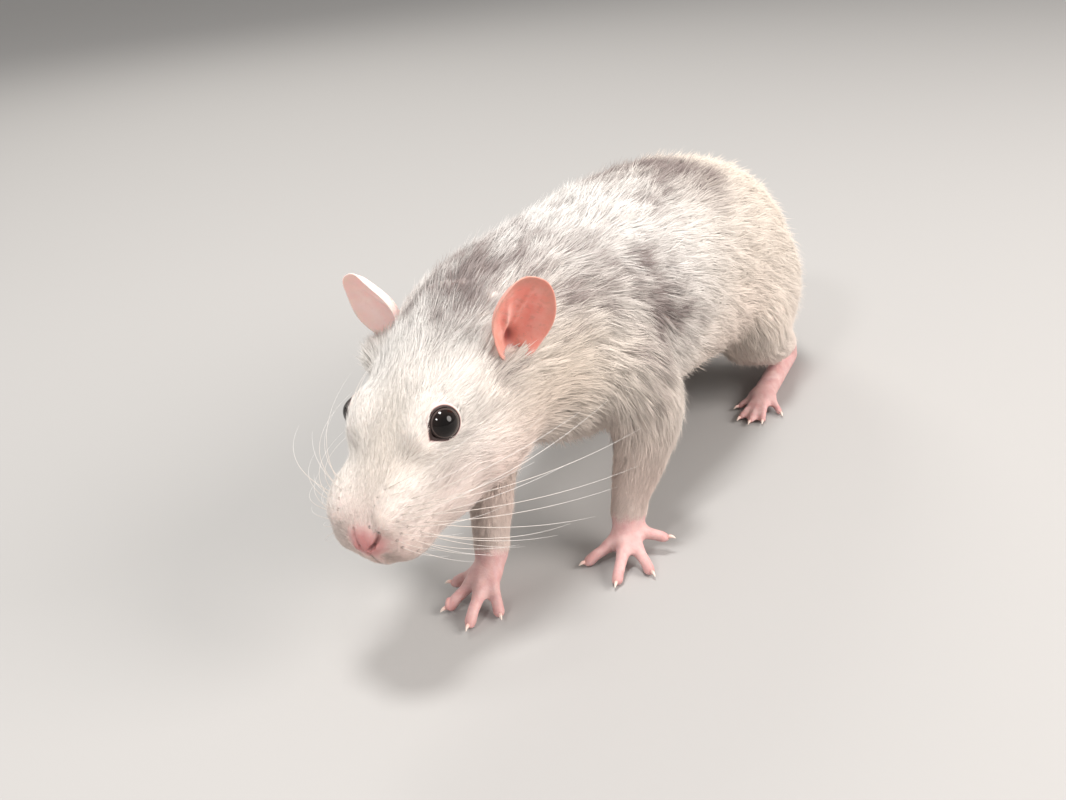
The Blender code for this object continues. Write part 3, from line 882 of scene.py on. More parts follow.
@dataclass(frozen=True)
class Markings:
    """Where the coat is grey, where it is warm, and where pink skin or a painted warm reflection
    tints it.

    Each is a table of soft patches, those of the head's frame first and then the body's: the middle
    and the reach in millimetres, and how strong it is.
    """

    grey: tuple = (
        (
            ((0, 50, 17), (13, 9, 9), 0.36), ((3.9, 47.6, 17.6), (3.2, 5.0, 4.5), 0.72),
            ((3.7, 38.5, 16.5), (2.2, 3.6, 3.6), 0.50), ((-6, 45, 16), (3.0, 4.5, 4.0), 0.50),
            ((-17, 48, 10), (5, 7, 6), 0.36), ((16, 40, 7), (4.5, 8, 5), 0.32),
        ),
        (
            ((0, -24, 75), (14, 11, 9), 0.42), ((15, -22, 65), (6, 8, 7), 0.62),
            ((-16, -20, 63), (7, 8, 8), 0.50), ((0, 4, 74), (26, 22, 14), 0.30),
            ((19, -3, 64), (5, 8, 6), 0.60), ((23, 4, 54), (5, 7, 6), 0.72),
            ((25, 16, 46), (5, 6, 8), 0.48), ((24, -6, 48), (5, 6, 5), 0.56),
            ((25, -9, 39), (5, 5, 5), 0.30), ((-20, 0, 62), (6, 9, 8), 0.58),
            ((-24, 9, 50), (5, 8, 8), 0.64), ((-24, 24, 50), (5, 7, 9), 0.42),
            ((-4, 29, 75), (8, 7, 7), 0.42), ((12, 27, 72), (4, 8, 6), 0.40),
            ((2, 52, 73), (17, 12, 10), 0.90), ((11, 61, 70), (6, 6, 6), 0.55),
            ((-14, 50, 68), (8, 10, 9), 0.62),
        ),
    )
    warm: tuple = (
        (
            ((2, 14, 9), (7, 14, 8), 0.55), ((16, 44, -4), (8, 12, 10), 0.50),
            ((-16, 44, -4), (8, 12, 10), 0.50),
        ),
        (
            ((14, -30, 48), (9, 12, 12), 0.70), ((24, -12, 46), (8, 10, 12), 0.35),
            ((0, 92, 56), (36, 34, 34), 0.90), ((26, 48, 42), (14, 20, 18), 0.55),
            ((-26, 48, 42), (14, 20, 18), 0.55), ((20, -2, 24), (12, 12, 22), 0.50),
            ((-10, -20, 22), (12, 14, 22), 0.60), ((0, 40, 20), (26, 60, 12), 0.70),
        ),
    )
    blush_and_painted_reflection: tuple = (
        (
            ((1.8, 1, -1), (5.5, 5, 5.5), 0.85), ((12, 24, -9), (7, 12, 7), 0.75),
            ((6, 3, -4), (5, 6, 4), 0.45), ((6, 9, -4), (6, 8, 6), 0.45),
            ((-6, 9, -4), (6, 8, 6), 0.45),
        ),
        (
            # The two flank patches paint warm reflected light on the coat
            ((27, 42, 30), (10, 16, 10), 0.35), ((-27, 42, 30), (10, 16, 10), 0.35),
            ((19, -7, 15), (9, 9, 14), 0.75), ((-6, -26, 15), (9, 12, 14), 0.75),
            ((24, 88, 10), (12, 20, 10), 0.45), ((-24, 88, 10), (12, 20, 10), 0.45),
            ((0, 122, 26), (10, 8, 10), 0.35),
        ),
    )

    @staticmethod
    def amount(tables: tuple, points: Rows) -> Rows:
        """How strongly some patches together mark each point, from 0 to 1.

        Args:
            tables: the patches of the head and of the body.
            points: the points.

        Returns:
            One number for each point.
        """
        clear = np.ones(len(points))
        for place, patches in zip((HEAD, BODY), tables):
            spots = seen_from(points, place)
            for at, reach, strength in patches:
                away = (spots - np.array(at)) / np.array(reach)
                clear *= 1 - strength * np.exp(-0.5 * (away**2).sum(1))
        return 1 - clear

    def onto(self, mesh: Mesh, roots: Rows, repeat: int = 1) -> None:
        """Keeps the markings at some roots on a mesh.

        Args:
            mesh: the mesh.
            roots: rows of x, y, z in metres.
            repeat: how many points of the mesh each root has.
        """
        for name in ("grey", "warm", "blush_and_painted_reflection"):
            values = self.amount(getattr(self, name), roots)
            paint(mesh, name, np.repeat(values, repeat))
        paint(mesh, "root", np.repeat(roots / MM, repeat, axis=0))


# The lie of the coat on the left side and the middle line, in millimetres of the head's frame or
# the body's: a spot, the way the hair runs there, its length and its depth
HEAD_GUIDES = (
    ((0, 4, 5), (0, 1, 0.5), 1.5, 0.22), ((0, 14, 9.5), (0, 1, 0.15), 2.4, 0.35),
    ((0, 26, 14.5), (0, 1, 0.1), 3.6, 0.6), ((0, 40, 17.5), (0, 1, 0), 5.2, 1.0),
    ((0, 50, 18.5), (0, 1, 0), 6.5, 1.4), ((6, 3, -1), (0.7, 0.7, -0.1), 1.4, 0.22),
    ((9, 9, 0), (0.45, 0.9, -0.1), 2.0, 0.45), ((8, 16, 4), (0.3, 1, 0.1), 2.7, 0.45),
    ((5.5, 10, -7), (0.35, 0.85, -0.5), 2.6, 0.65), ((3, 9, -11), (0.2, 0.9, -0.4), 2.2, 0.6),
    ((0, 22, -12.5), (0, 1, -0.15), 4.0, 0.8), ((0, 38, -17), (0, 1, -0.1), 6.5, 1.4),
    ((10, 18, -3), (0.2, 1, -0.25), 3.2, 0.5), ((13.5, 24, 0), (0.15, 0.95, -0.35), 3.7, 0.7),
    ((9, 22, 14.5), (0.15, 1, 0.25), 2.8, 0.45), ((12.5, 30, 12), (0.25, 1, 0.1), 3.7, 0.7),
    ((15.5, 33, 4), (0.2, 1, -0.15), 4.5, 0.9), ((17, 36, -5), (0.3, 0.9, -0.35), 6.0, 1.3),
    ((14, 34, -12), (0.25, 0.85, -0.55), 6.5, 1.4), ((10, 42, 15), (0.15, 1, 0.1), 4.8, 1.0),
    ((17, 40, 9), (0.75, 0.5, 0.25), 5.2, 2.0), ((16.5, 46, 8), (0.2, 1, -0.1), 5.5, 1.2),
    ((18, 48, -2), (0.15, 0.9, -0.4), 7.5, 1.6), ((12, 46, -16), (0.1, 0.9, -0.5), 8.0, 1.7),
)
BODY_GUIDES = (
    ((0, -14, 76), (0, 1, 0.1), 8.0, 1.8), ((18, -18, 66), (0.1, 1, -0.25), 8.0, 1.8),
    ((22, -12, 48), (0.1, 0.8, -0.6), 8.0, 1.8), ((12, -22, 34), (0, 0.5, -0.85), 8.0, 1.7),
    ((0, -18, 30), (0, 0.6, -0.8), 8.0, 1.7), ((0, 15, 77), (0, 1, 0), 9.0, 2.0),
    ((22, 12, 62), (0.05, 1, -0.3), 9.0, 2.0), ((27, 20, 46), (0, 1, -0.45), 9.0, 2.0),
    ((24, 25, 28), (-0.1, 0.95, -0.5), 9.0, 1.9), ((8, 10, 22), (0, 1, -0.1), 7.0, 1.6),
    ((0, 45, 18), (0, 1, 0), 7.0, 1.5), ((0, 55, 74), (0, 1, -0.05), 9.5, 2.1),
    ((27, 60, 46), (0, 1, -0.35), 9.5, 2.1), ((24, 50, 26), (0, 1, -0.4), 9.0, 1.8),
    ((0, 95, 64), (0, 1, -0.4), 10.0, 2.2), ((20, 100, 50), (0, 1, -0.55), 10.0, 2.1),
    ((28, 85, 34), (0, 0.9, -0.6), 8.5, 1.9), ((0, 118, 42), (0, 0.6, -0.8), 9.0, 1.9),
    ((0, 124, 26), (0, 0.8, -0.6), 4.0, 0.7), ((0, 132, 15), (0, 0.8, -0.6), 1.5, 0.1),
    ((14, 114, 30), (0, 0.6, -0.8), 8.5, 1.7), ((24, 72, 18), (0, 0.9, -0.3), 6.0, 1.3),
    ((12, 85, 13), (0, 1, 0), 6.0, 1.2), ((23, 80, 4), (0, -1, -0.1), 1.2, 0.05),
)

# Legs down to wrist and ankle: x, y, z and radius, and for each row its coat's length and depth
FORELEGS = {
    Side.LEFT: (
        (15, -2, 44, 11), (20.4, -1, 33, 9.4), (19.8, -4, 22, 6.6), (18.2, -8, 13, 4.6),
        (18.2, -10, 7.5, 3.9),
    ),
    Side.RIGHT: (
        (-12, -6, 44, 11), (-13, -12, 33, 9.2), (-9.5, -21, 22, 6.4), (-5.4, -30, 13, 4.5),
        (-4, -33.6, 8, 3.8),
    ),
}
FORELEG_COAT = ((7.5, 1.7), (6.0, 1.3), (4.0, 0.8), (2.4, 0.4), (1.4, 0.08))
HINDLEG = (
    (17, 90, 31, 12), (22.5, 71, 23, 9.6), (23.5, 84, 14, 6.4), (23, 97, 8, 4.0),
    (23, 99.5, 4, 3.6),
)
HINDLEG_COAT = ((8.5, 1.9), (7.0, 1.5), (4.2, 0.8), (2.2, 0.3), (1.3, 0.06))


@dataclass
class Groom:
    """The lie of the coat all over, blended from guides."""

    places: Rows = field(init=False)
    ways: Rows = field(init=False)
    sizes: Rows = field(init=False)
    blend: float = 1.5 * MM
    fading: float = 2.2

    def __post_init__(self) -> None:
        """Sets out every guide, those off the middle line on both sides."""
        rows = []
        for guides, place in ((HEAD_GUIDES, HEAD), (BODY_GUIDES, BODY)):
            for at, way, length, depth in guides:
                sides = Side if at[0] else (Side.LEFT,)
                rows += [(place, side.of(at), side.of(way), length, depth) for side in sides]
        for side in Side:
            hind = [side.of(row) for row in HINDLEG]
            for leg, coat in ((FORELEGS[side], FORELEG_COAT), (hind, HINDLEG_COAT)):
                table = np.array(leg, float)[:, :3]
                ways = unit(np.gradient(table, axis=0))
                rows += [(BODY, spot, way, *size) for spot, way, size in zip(table, ways, coat)]
        self.places = np.vstack([placed(np.array([spot]), place) for place, spot, *_ in rows])
        self.ways = unit(np.vstack([
            np.array(place)[:3, :3] @ np.array(way, float) for place, _, way, *_ in rows
        ]))
        self.sizes = np.array([row[3:] for row in rows], float)

    def at(self, points: Rows) -> tuple[Rows, Rows, Rows]:
        """The coat at some points.

        Args:
            points: the points.

        Returns:
            The way the hair runs, its length and its depth, these two in metres.
        """
        weight = np.zeros((len(points), len(self.places)))
        for i, place in enumerate(self.places):
            away = ((points - place) ** 2).sum(1)
            weight[:, i] = 1 / (away + self.blend**2) ** self.fading
        weight /= weight.sum(1, keepdims=True)
        size = weight @ self.sizes * MM
        return unit(weight @ self.ways), size[:, 0], size[:, 1]


# The opening between the lids: a circle drawn out to a corner low towards the nose
EYE_FACING = (0.86, -0.34, 0.38)
EYE_RADIUS = 3.5
LID_OPENING = 2.95
LID_THICKNESS = 0.30
LID_GAP = 0.08
SUNK_BEHIND = 0.9
LID_CORNER_ANGLE = math.radians(190)
LID_CORNER_REACH = math.radians(40)


@dataclass
class Eye:
    """One eye: its place from the solids, its lids' outline and its ball."""

    side: Side
    rings: int = 48
    corners: int = 64
    bulge: float = 0.25
    finish: EyeFinish = EyeFinish()

    @property
    def place(self) -> Matrix:
        """The eye's frame, with x across, y up and z along its gaze.

        Returns:
            The matrix of the frame.
        """
        low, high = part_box(f"eye_{self.side.word}")
        facing = Vector(self.side.of(EYE_FACING)).normalized()
        up = Vector((0, 0, 1))
        up = (up - facing * up.dot(facing)).normalized()
        turn = HEAD.to_3x3() @ Matrix((up.cross(facing), up, facing)).transposed()
        return Matrix.Translation((low + high) / 2) @ turn.to_4x4()

    def outside(self, points: Rows) -> tuple[Rows, Rows, Rows]:
        """Where points lie about the lids' opening.

        Args:
            points: the points.

        Returns:
            How far each is outside the opening and from the eye's middle, in millimetres, and
            whether it is in front of the eye.
        """
        spots = seen_from(points, self.place)
        away = lengths(spots)
        across = np.hypot(spots[:, 0], spots[:, 1])
        corner = LID_CORNER_ANGLE if self.side is Side.LEFT else math.pi - LID_CORNER_ANGLE
        angle = np.arctan2(spots[:, 1], spots[:, 0])
        turn = np.abs((angle - corner + math.pi) % (2 * math.pi) - math.pi)
        opening = LID_OPENING / np.cos(np.maximum(LID_CORNER_REACH - turn, 0))
        return across - opening, away, spots[:, 2] > 0

    def lids(self, points: Rows) -> Rows:
        """Skin points near the eye, laid on the ball as lids and sunk behind it in the opening.

        Args:
            points: the points.

        Returns:
            The points with those near the eye moved.
        """
        out, away, front = self.outside(points)
        lid = EYE_RADIUS + LID_GAP + LID_THICKNESS * rise(out, -0.05, 0.5)
        raised = away + (np.maximum(lid, away) - away) * fall(out, 1.2, 3.0)
        flush = lid + (raised - lid) * rise(out, 0.2, 2.2)
        sunk = flush + (EYE_RADIUS - SUNK_BEHIND - flush) * fall(out, -0.2, 0.02)
        near = front & (away < 9)
        centre = np.array(self.place.translation)
        scale = np.where(near, sunk / np.maximum(away, 1e-9), 1.0)
        return centre + (points - centre) * scale[:, None]

    def build(self) -> Object:
        """The eyeball.

        Returns:
            The piece.
        """
        tall = np.linspace(0, math.pi, self.rings + 2)[1:-1]
        swell = EYE_RADIUS + self.bulge * np.clip(np.cos(tall), 0, 1) ** 6
        ball = round_grid(swell * np.sin(tall), swell * np.cos(tall), self.corners)
        form = Form.rings(placed(ball.reshape(-1, 3), self.place).reshape(ball.shape))
        mesh = mesh_from("eyeball", form.points, form.triangles)
        spots = seen_from(form.points, self.place)
        paint(mesh, "out", np.hypot(spots[:, 0], spots[:, 1]) / EYE_RADIUS + (spots[:, 2] < 0))
        paint(mesh, "root", spots)
        mesh.materials.append(self.finish.material())
        word = self.side.word
        return settled(in_scene(f"eyeball_{word}", mesh), "eye_black", f"eye_{word}")


# A forepaw: its palm, the way the palm points, in degrees out from straight ahead, and for each
# digit the way it points itself, its length and how high its tip is carried
FOREPAWS = {
    Side.LEFT: (
        (18.4, -11.0, 5.0), 12.0, ((-38, 10.5, 0), (12, 13.1, 0), (50, 10.5, 0), (108, 8.5, 3.0)),
    ),
    Side.RIGHT: (
        (-4.0, -35.2, 6.0), -6.0, ((-40, 10.1, 0), (-10, 13.5, 0), (27, 10.9, 0), (72, 8.1, 1.0)),
    ),
}
PALM_RADII = (4.0, 4.4, 2.9)
FORE_DIGIT_RADIUS = 1.7
# The left hindfoot: its heel and ball, the radius of each, and its digits as a forepaw's
HIND_HEEL = (23.0, 101.0, 3.0)
HIND_BALL = (24.5, 71.0, 2.6)
HIND_RADII = (3.3, 4.2)
HIND_DIGITS = ((-34, 7.5, 0), (-11, 13.0, 0), (1, 14.0, 0), (13, 13.0, 0), (38, 8.5, 0))
HIND_DIGIT_RADIUS = 1.3
# A digit's shaft: how far along it a row is, and its width for the digit's own
DIGIT_ROWS = ((0.0, 1.1), (0.25, 1.0), (0.42, 1.08), (0.6, 0.94), (0.78, 0.92), (1.0, 0.88))
# The pads of a forepaw's sole, from the middle of its palm
PALM_PADS = (
    (-1.9, -1.6, -2.0), (0.2, -2.6, -2.0), (2.1, -1.2, -2.0), (-1.6, 2.0, -1.8), (1.6, 2.0, -1.8),
)
PALM_PAD_RADII = (1.3, 1.5, 1.2)
PALM_SLOPE = 14
# A claw: how far out each row is, how high over the claw's foot, and its radius
CLAW = ((-0.5, 0.42, 0.42), (0.3, 0.50, 0.38), (1.0, 0.34, 0.26), (1.7, 0.02, 0.08))
CLAW_STEPS = 9
CLAW_CORNERS = 10
CLAW_HEIGHT = 1.15


@dataclass
class Digit:
    """One digit: from its root over a raised knuckle to a padded tip with a claw."""

    root: tuple
    angle: float
    length: float
    radius: float
    lift: float

    @property
    def ahead(self) -> Rows:
        """The way it points, level with the floor."""
        return np.array((math.sin(self.angle), -math.cos(self.angle), 0.0))

    @property
    def tip(self) -> Rows:
        """The middle of its last joint.

        Returns:
            The place in the body's millimetres.
        """
        end = np.array((*self.root[:2], 0.0)) + self.ahead * self.length
        end[2] = self.radius * 0.62 + self.lift
        return end

    def forms(self) -> list[Form]:
        """Its flesh: the shaft, the knuckle and the pad under the tip.

        Returns:
            The shaft with the knuckle, and the pad.
        """
        start = np.array((*self.root[:2], 0.0))
        palm, tip = self.root[2], self.tip[2]
        knuckle = max(palm * 0.78, tip + 1.4)
        past, before = (knuckle * 1.4 + tip) / 2.4, (knuckle + tip * 1.6) / 2.6
        heights = (palm, (palm + knuckle) / 2, knuckle, past, before, tip)
        rows = []
        for (share, width), height in zip(DIGIT_ROWS, heights):
            spot = start + self.ahead * self.length * share
            rows.append((spot[0], spot[1], height, self.radius * width))
        pad = self.tip - self.ahead * 0.5 - np.array((0, 0, 0.12 * self.radius))
        bulb = [self.radius * size for size in (0.98, 1.1, 0.72)]
        spin = Matrix.Rotation(self.angle, 4, "Z")
        toe = BODY @ Matrix.Translation(Vector(pad) * MM) @ spin
        return [Form.tube(body_line(rows, 26), 14), Form.egg((0, 0, 0), bulb, toe, 12)]

    def claw(self) -> Form:
        """Its claw, curved down to a point.

        Returns:
            The claw.
        """
        rows = []
        for reach, fall, width in CLAW:
            spot = self.tip + self.ahead * (self.radius * 0.6 + reach * 0.7)
            rows.append((spot[0], spot[1], self.tip[2] - 0.3 + fall, width))
        return Form.tube(body_line(rows, CLAW_STEPS), CLAW_CORNERS, CLAW_HEIGHT)


@dataclass
class Paws:
    """All four paws: their flesh, which joins the skin, and their claws."""

    digits: list[Digit] = field(init=False)

    def __post_init__(self) -> None:
        """Sets out the digits of each paw."""
        self.digits = []
        for side in Side:
            palm, _, digits = FOREPAWS[side]
            for angle, length, lift in digits:
                way = math.radians(angle) * side.value
                self.digits.append(Digit(palm, way, length, FORE_DIGIT_RADIUS, lift))
            ball = side.of(HIND_BALL)
            for angle, length, lift in HIND_DIGITS:
                way = math.radians(angle) * side.value
                root = (ball[0] + math.sin(way) * 2.0, ball[1] + 1.5, ball[2])
                self.digits.append(Digit(root, way, length, HIND_DIGIT_RADIUS, lift))

    def shaft(self, rows: Sequence[Spot]) -> Form:
        """A tube through rows of x, y, z and radius in the body's millimetres."""
        return Form.tube(body_line(rows, 8 * len(rows)), 22)

    def forms(self) -> list[Form]:
        """The flesh of all four paws, in overlapping shapes.

        Returns:
            The shapes.
        """
        made = [form for digit in self.digits for form in digit.forms()]
        for side in Side:
            (x, y, z), heading, _ = FOREPAWS[side]
            turn = Matrix.Rotation(math.radians(heading * side.value), 4, "Z")
            slope = Matrix.Rotation(math.radians(PALM_SLOPE), 4, "X")
            middle = (x, y - 1.0, z - 0.4)
            palm = BODY @ Matrix.Translation(Vector(middle) * MM) @ turn @ slope
            made.append(Form.egg((0, 0, 0), PALM_RADII, palm))
            made += [Form.egg(spot, PALM_PAD_RADII, palm, 10) for spot in PALM_PADS]
            made.append(self.shaft((*FORELEGS[side][-3:], (*middle, 2.8))))
            heel, ball = np.array(side.of(HIND_HEEL)), np.array(side.of(HIND_BALL))
            thin, broad = HIND_RADII
            middle = (heel + ball) / 2
            made.append(self.shaft(((*heel, thin), (*middle, thin), (*ball, broad * 0.8))))
            made.append(Form.egg(heel, (thin, thin, thin), BODY))
            made.append(Form.egg(ball, (broad, broad, 2.8), BODY))
            made.append(self.shaft([side.of(row) for row in HINDLEG[-3:]]))
        return made

    def build(self) -> Object:
        """The claws of all four paws.

        Returns:
            The piece.
        """
        claws = horn("claws", [digit.claw() for digit in self.digits], CLAW_STEPS, CLAW_HORN)
        return settled(claws, "pink_skin")


# The pits that the whiskers stand in, on the left pad, each with its whisker's length
FOLLICLES = (
    (5.2, 8.9, 6.4, 26), (4.7, 7.5, 6.1, 20), (4.6, 6.1, 5.5, 14), (4.2, 4.7, 4.9, 9),
    (3.4, 2.8, 3.9, 6), (8.0, 9.8, 4.3, 36), (7.7, 8.1, 4.2, 29), (7.3, 6.7, 3.9, 21),
    (7.0, 5.5, 3.7, 14), (10.2, 10.4, 2.2, 44), (9.9, 8.8, 2.3, 38), (9.6, 7.3, 2.1, 30),
    (9.1, 5.5, 2.0, 21), (8.4, 4.0, 1.7, 13), (7.8, 2.9, 1.0, 8), (11.2, 10.0, 0.0, 44),
    (10.6, 8.2, -0.2, 36), (10.0, 6.3, -0.5, 27), (9.4, 4.6, -0.6, 17), (8.3, 2.6, -0.6, 10),
    (11.2, 9.6, -2.6, 34), (10.4, 7.6, -2.8, 27), (9.6, 5.8, -3.1, 18), (8.8, 4.3, -3.2, 11),
    (9.4, 8.4, -5.2, 20), (8.6, 6.4, -5.4, 13),
)
# Single long hairs over the eye, on the cheek and on the chin
FEELERS = (
    (8.4, 20.5, 14.6, 17), (7.6, 22.6, 15.2, 12), (15.6, 30.0, -3.0, 12), (2.4, 8.0, -10.5, 7),
)
TAIL_LINE = (
    (0, 110, 29), (-1, 122, 23.5), (-5, 134, 13), (-14, 144.5, 5.4), (-30, 151.5, 4.0),
    (-49, 149, 3.4), (-65, 137, 2.8), (-76, 119, 2.3), (-82, 98, 1.8), (-83, 78, 1.4),
    (-78, 60, 1.0),
)
# How far apart the tail's rings are, in millimetres
TAIL_RING = 0.95


def line_distance(points: Rows, line: Sequence[Spot]) -> Rows:
    """How far points are from a broken line.

    Args:
        points: rows of coordinates.
        line: the line's corners, with as many coordinates.

    Returns:
        One distance for each point.
    """
    nearest = np.full(len(points), np.inf)
    for start, end in zip(np.array(line, float), np.array(line, float)[1:]):
        run = end - start
        share = np.clip((points - start) @ run / (run @ run), 0, 1)
        nearest = np.minimum(nearest, lengths(points - start - share[:, None] * run))
    return nearest


@dataclass(frozen=True)
class Muzzle:
    """The nose pad with its nostrils, the groove below it and the mouth.

    All but pad_scale are in millimetres of the head's frame. The pad stands off the head's middle
    plane, as the photograph shows it. Its nostrils and swells are given by how far they are from
    the pad's own middle line and how high, and the mouth as it is seen from below.
    """

    offset: float = 2.5
    bend_back: float = 9.0
    bend_wide: float = 4.5
    pad: tuple = (2.2, 0.8, 1.4)
    pad_scale: tuple = (0.64, 0.8, 1.0)
    hole: tuple = (1.35, 1.3)
    hole_radius: float = 0.6
    hole_depth: float = 1.3
    slit: tuple = ((0.8, 1.0), (1.9, 1.7), (2.7, 2.6), (2.9, 3.4))
    slit_depth: float = 0.9
    slit_loss: float = 0.4
    groove_depth: float = 0.4
    swells: tuple = ((2.7, 0.8, 0.45), (1.3, 2.9, 0.30), (0.0, 1.7, 0.30))
    swell_reach: float = 0.9
    face_back: float = 4.5
    mouth: tuple = ((0.0, 3.4), (2.2, 3.8), (4.4, 5.6), (6.2, 8.6), (7.2, 12.4))
    mouth_depth: float = 0.55
    mouth_back: float = 14.0

    def sculpted(self, points: Rows) -> Rows:
        """Nostrils, the groove under the nose and the line of the mouth, pressed into the skin.

        Args:
            points: the points.

        Returns:
            The points with those of the muzzle moved.
        """
        spots = seen_from(points, HEAD)
        near = np.exp(-((spots[:, 0] / self.bend_wide) ** 2))
        bend = self.offset * fall(spots[:, 1], 0.0, self.bend_back) * near
        seen = np.column_stack([np.abs(spots[:, 0] + bend - self.offset), spots[:, 2]])
        deep = np.where(spots[:, 1] < self.face_back, self.depth(seen), 0)
        plan = np.column_stack([np.abs(spots[:, 0]), spots[:, 1]])
        lips = line_distance(plan, self.mouth)
        lift = self.mouth_depth * fall(lips, 0.15, 0.7) * self.under(spots)
        return placed(spots + np.column_stack([bend, deep, lift]), HEAD)

    def depth(self, seen: Rows) -> Rows:
        """How deep the front of the muzzle is pressed in.

        Args:
            seen: how far from the pad's middle line each point is, and how high.

        Returns:
            One depth for each point, less than 0 where it swells.
        """
        off = lengths(seen - self.hole)
        inner, outer = self.hole_radius * 0.3, self.hole_radius * 1.2
        deep = self.hole_depth * fall(off, inner, outer)
        fading = self.slit_depth - self.slit_loss * rise(seen[:, 0], 1.8, 3.0)
        slit = 1 - rise(line_distance(seen, self.slit), 0.1, 0.55)
        deep = np.maximum(deep, fading * slit)
        groove = self.groove_depth * fall(seen[:, 0], 0.1, 0.6)
        low = -seen[:, 1]
        below = rise(low, -0.6, 0.2) * fall(low, 5.4, 6.6)
        deep = np.maximum(deep, groove * below)
        for x, z, high in self.swells:
            off = lengths(seen - (x, z)) / self.swell_reach
            deep = deep - high * np.exp(-(off**2))
        return deep

    @staticmethod
    def under(spots: Rows) -> Rows:
        """How far spots are under the muzzle, from 0 to 1."""
        return rise(-spots[:, 2], 3.0, 4.5)

    def from_pad(self, spots: Rows) -> Rows:
        """How far spots are from the pad's middle, shorter across it."""
        return lengths((spots - self.pad) * self.pad_scale)

    def in_slit(self, spots: Rows) -> Rows:
        """How far spots lie in the nostrils' slits, from 0 to 1.

        Args:
            spots: rows of x, y, z of the head's frame.

        Returns:
            One share for each spot.
        """
        seen = np.column_stack([np.abs(spots[:, 0] - self.offset), spots[:, 2]])
        inside = 1 - rise(line_distance(seen, self.slit), 0.0, 0.6)
        return inside * fall(spots[:, 1], 0.8, 3.0)

    def on_lips(self, spots: Rows) -> Rows:
        """How far spots lie on the lips, from 0 to 1.

        Args:
            spots: rows of x, y, z of the head's frame.

        Returns:
            One share for each spot.
        """
        off = line_distance(np.abs(spots[:, :2]), self.mouth)
        near = fall(off, 0.4, 1.6) * self.under(spots)
        return near * (spots[:, 1] < self.mouth_back)


# How far the skin's points are drawn to their neighbours' middle each time, and how many times.
# Of two shares, the first is for the head and the paws, the first time with the tail
EVENING = (0.25, 0.5, 14)
COAT_EDGE = (0.8, 12)
SINKING = (0.3, 4)
LAST_RUB = (0.35, 0.22, 4)
# Where the skin is split finer: round a spot of the head's frame, or round each eye, in millimetres
MUZZLE_FINE = ((0, 3, -1), 10)
NOSE_FINER = ((0, 1, 0), 5.5)
EYES_FINE = 6.5
LIDS_FINER = 4.9


